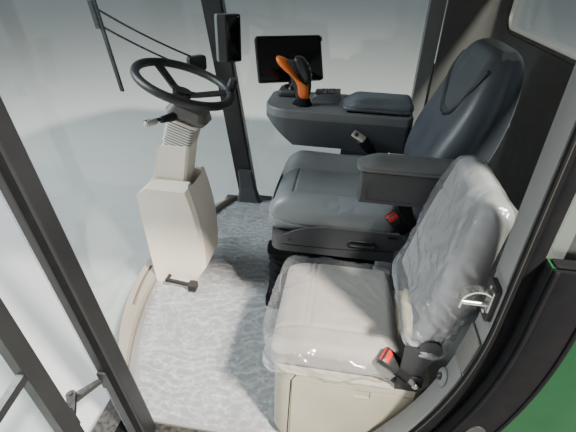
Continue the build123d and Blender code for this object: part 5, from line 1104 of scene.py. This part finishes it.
buckle("operator_left", (0.292, 0.362, 0.790), (0.05, -0.62, 0.72), (1.0, 0.0, 0.15), "seat", "red")
buckle("operator_right", (-0.245, 0.252, 0.852), (0.05, -0.70, 0.75), (1.0, 0.1, 0.3), "seat", "black")
buckle("buddy", (0.776, 0.345, 0.628), (-0.25, -0.80, 0.54), (0.45, 0.45, 0.75), "cab", "red")
plate("buddy_anchor", (0.7903, 0.414, 0.580), (0, 1, 0), (1, 0, 0), (0.040, 0.046), 0.012,
      raised(0.0045, 0.0015), "black", "cab")
screw_head("buddy_anchor_bolt", (0.8010, 0.414, 0.574), (1, 0, 0), 0.0095, "zinc", "cab")
TONGUE_OUT = Vector((0.70, -0.05, 0.70)).normalized()
plate("belt_tongue", (-0.222, 0.214, 0.897), (0.1, -0.72, 0.70), TONGUE_OUT, (0.064, 0.034), 0.007,
      raised(0.0026, 0.0006), "zinc", "seat")
plate("belt_tongue_slot", Vector((-0.222, 0.203, 0.905)) + TONGUE_OUT * 0.0026, (0.1, -0.72, 0.70),
      TONGUE_OUT, (0.017, 0.018), 0.003, MARK_LEVELS, "black", "seat")

# Seat base: shield handle, slot, seam and screws
SHIELD = 0.2683
plate("shield_handle", (SHIELD, 0.258, 0.655), (0, 1, 0), (1, 0, 0), (0.104, 0.030), 0.014,
      ((0, -0.001), (0, 0.004), (0.003, 0.006), (0.006, 0.003), (0.008, 0.0015)), "black", "seat")
plate("shield_slot", (SHIELD, 0.365, 0.700), (0, 1, 0), (1, 0, 0), (0.036, 0.012), 0.005,
      ((0, -0.001), (0, 0.0015), (0.001, 0.002), (0.003, 0.0006)), "black", "seat")
seam_path = [(SHIELD + 0.0002, y, 0.617 + 0.03 * (y / 0.45) ** 2) for y in np.linspace(-0.05, 0.43, 40)]
sweep("shield_seam", seam_path, round_section(0.0013, 6), "seal", "seat")
for i, y in enumerate((-0.02, 0.41)):
    screw_head("shield_screw_%d" % i, (SHIELD, y, 0.640), (1, 0, 0), 0.0055, "steel", "seat")

# Door opening: shut-face flange, guard on the side panel, trim panels and seals that follow its outline
RIM_R = 1.100
RIM_MID = (-0.595, 0.930)
BAND_AROUND = 6
PANEL_ROWS = 40


def rim_point(x, z, grow):
    """A point behind the opening's rear outline at this height, offset from it by this much."""
    radius = RIM_R + grow
    if z >= RIM_MID[1]:
        return Vector((x, RIM_MID[0] + radius, z))
    return Vector((x, RIM_MID[0] + math.sqrt(radius * radius - (RIM_MID[1] - z) ** 2), z))


def rim_turn(turn, grow):
    """The rear outline by angle below its centre, for its round part."""
    radius = RIM_R + grow
    return RIM_MID[0] + radius * math.cos(turn), RIM_MID[1] - radius * math.sin(turn)


def rim_band(name, x, thick, inner, outer, z_high, turn_low, look, slot=None):
    """A flat band that follows the rear outline between two offsets, from a height down to an angle."""
    stations = [(z, None) for z in np.linspace(z_high, RIM_MID[1], 24)[:-1]]
    stations += [(None, t) for t in np.linspace(0, turn_low, 60)]
    edge = min(thick, 0.0015)
    points = []
    for z, turn in stations:
        for grow, out in ((inner, 0), (inner, thick - edge), (inner + edge, thick), (outer - edge, thick),
                          (outer, thick - edge), (outer, 0)):
            if turn is None:
                points.append((x + out, RIM_MID[0] + RIM_R + grow, z))
            else:
                points.append((x + out, *rim_turn(turn, grow)))
    return place_mesh(name, points, tube_faces(len(stations), BAND_AROUND), look, "cab", slot)


rim_band("shut_flange", 0.8753, 0.0018, 0.0155, 0.0440, 1.735, 0.735, "seal", "steel_black")
rim_band("panel_guard", 0.9053, 0.0030, 0.0470, 0.1480, 1.098, 0.78, "seal", "steel_black")
rim_band("guard_bead_inner", 0.9080, 0.0050, 0.0490, 0.0580, 1.096, 0.77, "seal")
rim_band("guard_bead_outer", 0.9080, 0.0040, 0.1360, 0.1460, 1.096, 0.77, "seal")
rim_band("seal_lip", 0.8840, 0.0020, 0.0030, 0.0065, 1.730, 0.72, "pale_seal")
OVAL_LEVELS = ((0, 0), (0.001, 0.0025), (0.004, 0.0025), (0.008, 0.0008), (0.012, 0.0004))
plate("guard_oval", (0.9082, *rim_turn(0.33, 0.098)), (0, 0.36, 0.93), (1, 0, 0), (0.120, 0.046), 0.0229,
      OVAL_LEVELS, "black", "cab")


def rim_panel(name, z_high, z_low, thick, span=(0.8065, 0.8740), grow=-0.0003, look="beige_post", slot=None):
    """A trim panel on a rim that faces the opening, between two heights, with eased edges."""
    points = []
    near, far = span
    edge = min(0.001, thick / 2)
    for z in np.linspace(z_high, z_low, PANEL_ROWS):
        for x, lift in ((near, 0), (near + 0.0005, thick - edge), (near + 0.0025, thick),
                        (far - 0.0025, thick), (far - 0.0005, thick - edge), (far, 0)):
            points.append(rim_point(x, z, grow - lift))
    return place_mesh(name, points, tube_faces(PANEL_ROWS, BAND_AROUND), look, "cab", slot)


rim_panel("panel_edge_guard", 1.098, 0.100, 0.0010, (0.8755, 0.9080), 0.0447, "seal", "steel_black")
rim_panel("post_panel_high", 1.700, 1.012, 0.0030)
rim_panel("post_panel_mid", 0.846, 0.742, 0.0075, look="taupe")
rim_panel("post_panel_low", 0.734, 0.380, 0.0045)
plate("panel_top_guard", (0.8925, 0.705, 1.1003), (0, 1, 0), (0, 0, 1), (0.300, 0.028), 0.006,
      raised(0.004, 0.002), "seal", "cab", "steel_black")
boss_at = rim_point(0.826, 0.660, -0.0045)
boss_out = (Vector((boss_at.x, *RIM_MID)) - boss_at).normalized()
turned("post_boss", boss_at, boss_out,
       ((0, 0.026), (0.003, 0.0255), (0.007, 0.022), (0.009, 0.0185), (0.0092, 0.013)), "beige_post", "cab",
       sides=40)
screw_head("post_boss_bolt", boss_at + boss_out * 0.0091, boss_out, 0.0105, "steel", "cab")

# Middle post: screws of the striker plate
screw_head("striker_screw_low", (0.840, 0.4932, 0.918), (0, -1, 0), 0.0060, "zinc", "cab")
screw_head("striker_screw_high", (0.840, 0.4932, 0.985), (0, -1, 0), 0.0060, "zinc", "cab")

# Steering wheel: leather grip round its rim, with a seam; stalk: tapering sleeve and pale tip
WHEEL_MAJOR = 0.186


def wheel_ring(radius, turns):
    """Points round the wheel's axis."""
    return [WHEEL_MID + Vector((1, 0, 0)) * (radius * math.cos(t)) + WHEEL_FORE * (radius * math.sin(t))
            for t in turns]


sweep("wheel_grip", wheel_ring(WHEEL_MAJOR, np.linspace(0, 2 * math.pi, 145)[:-1]), round_section(0.0166, 20),
      "grip", "wheel", closed=True, up=WHEEL_UP)
seam_ring = wheel_ring(WHEEL_MAJOR - 0.0162, np.linspace(0, 2 * math.pi, 290))
stitches("wheel_stitches", [p + WHEEL_UP * 0.003 for p in seam_ring], "thread", "wheel", 0.0085, 0.0055,
         0.0005)
STALK_ROOT = Vector((0.068, -0.529, 1.023))
STALK_DIR = Vector((1, -0.42, 0.08))
turned("stalk_sleeve", STALK_ROOT, STALK_DIR,
       ((-0.010, 0.0165), (0.004, 0.0175), (0.030, 0.0150), (0.058, 0.0125), (0.062, 0.0105)), "black",
       "column")
turned("stalk_tip", STALK_ROOT, STALK_DIR,
       ((0.082, 0.0085), (0.085, 0.0125), (0.104, 0.0135), (0.128, 0.0130), (0.134, 0.0105), (0.136, 0.0060)),
       "pale_mark", "column")

# Dark seam between the front cap and the side of the instructor's seat box
BOX_SEAM = ((0.082, 0.5330), (0.068, 0.505), (0.066, 0.400), (0.064, 0.200))
sweep("box_seam", [(0.7902, y, z) for y, z in BOX_SEAM], round_section(0.0016, 6), "seal", "cab")

# Lights and stage
world = bpy.data.worlds.new("studio")
world.use_nodes = True
world.node_tree.nodes["Background"].inputs["Color"].default_value = (0.80, 0.90, 1.0, 1)
world.node_tree.nodes["Background"].inputs["Strength"].default_value = 0.45
scene.world = world


def area_light(name, at, towards, size, power, color):
    lamp = bpy.data.lights.new(name, "AREA")
    lamp.shape = "DISK"
    lamp.size = size
    lamp.energy = power
    lamp.color = color
    placed = bpy.data.objects.new(name, lamp)
    placed.location = at
    placed.rotation_mode = "QUATERNION"
    placed.rotation_quaternion = (Vector(towards) - Vector(at)).to_track_quat("-Z", "Y")
    scene.collection.objects.link(placed)


area_light("key", (3.5, 3.0, 6.1), (0.3, -0.1, 0.7), 0.45, 2150, (1.0, 0.94, 0.84))
area_light("fill", (0.9, -4.6, 3.4), (0.1, 0.0, 0.8), 2.2, 600, (0.90, 0.95, 1.0))
STAGE = 40
stage_floor = bpy.data.objects.new("stage_floor", bpy.data.meshes.new("stage_floor"))
stage_floor.data.from_pydata([(-STAGE, -STAGE, 0), (STAGE, -STAGE, 0), (STAGE, STAGE, 0), (-STAGE, STAGE, 0)],
                             [], [(0, 1, 2, 3)])
scene.collection.objects.link(stage_floor)
stage_floor.data.materials.append(plastic("stage", (0.40, 0.40, 0.385), 0.8, 0.0002, 0.02))
stage_floor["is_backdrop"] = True

low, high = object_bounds()
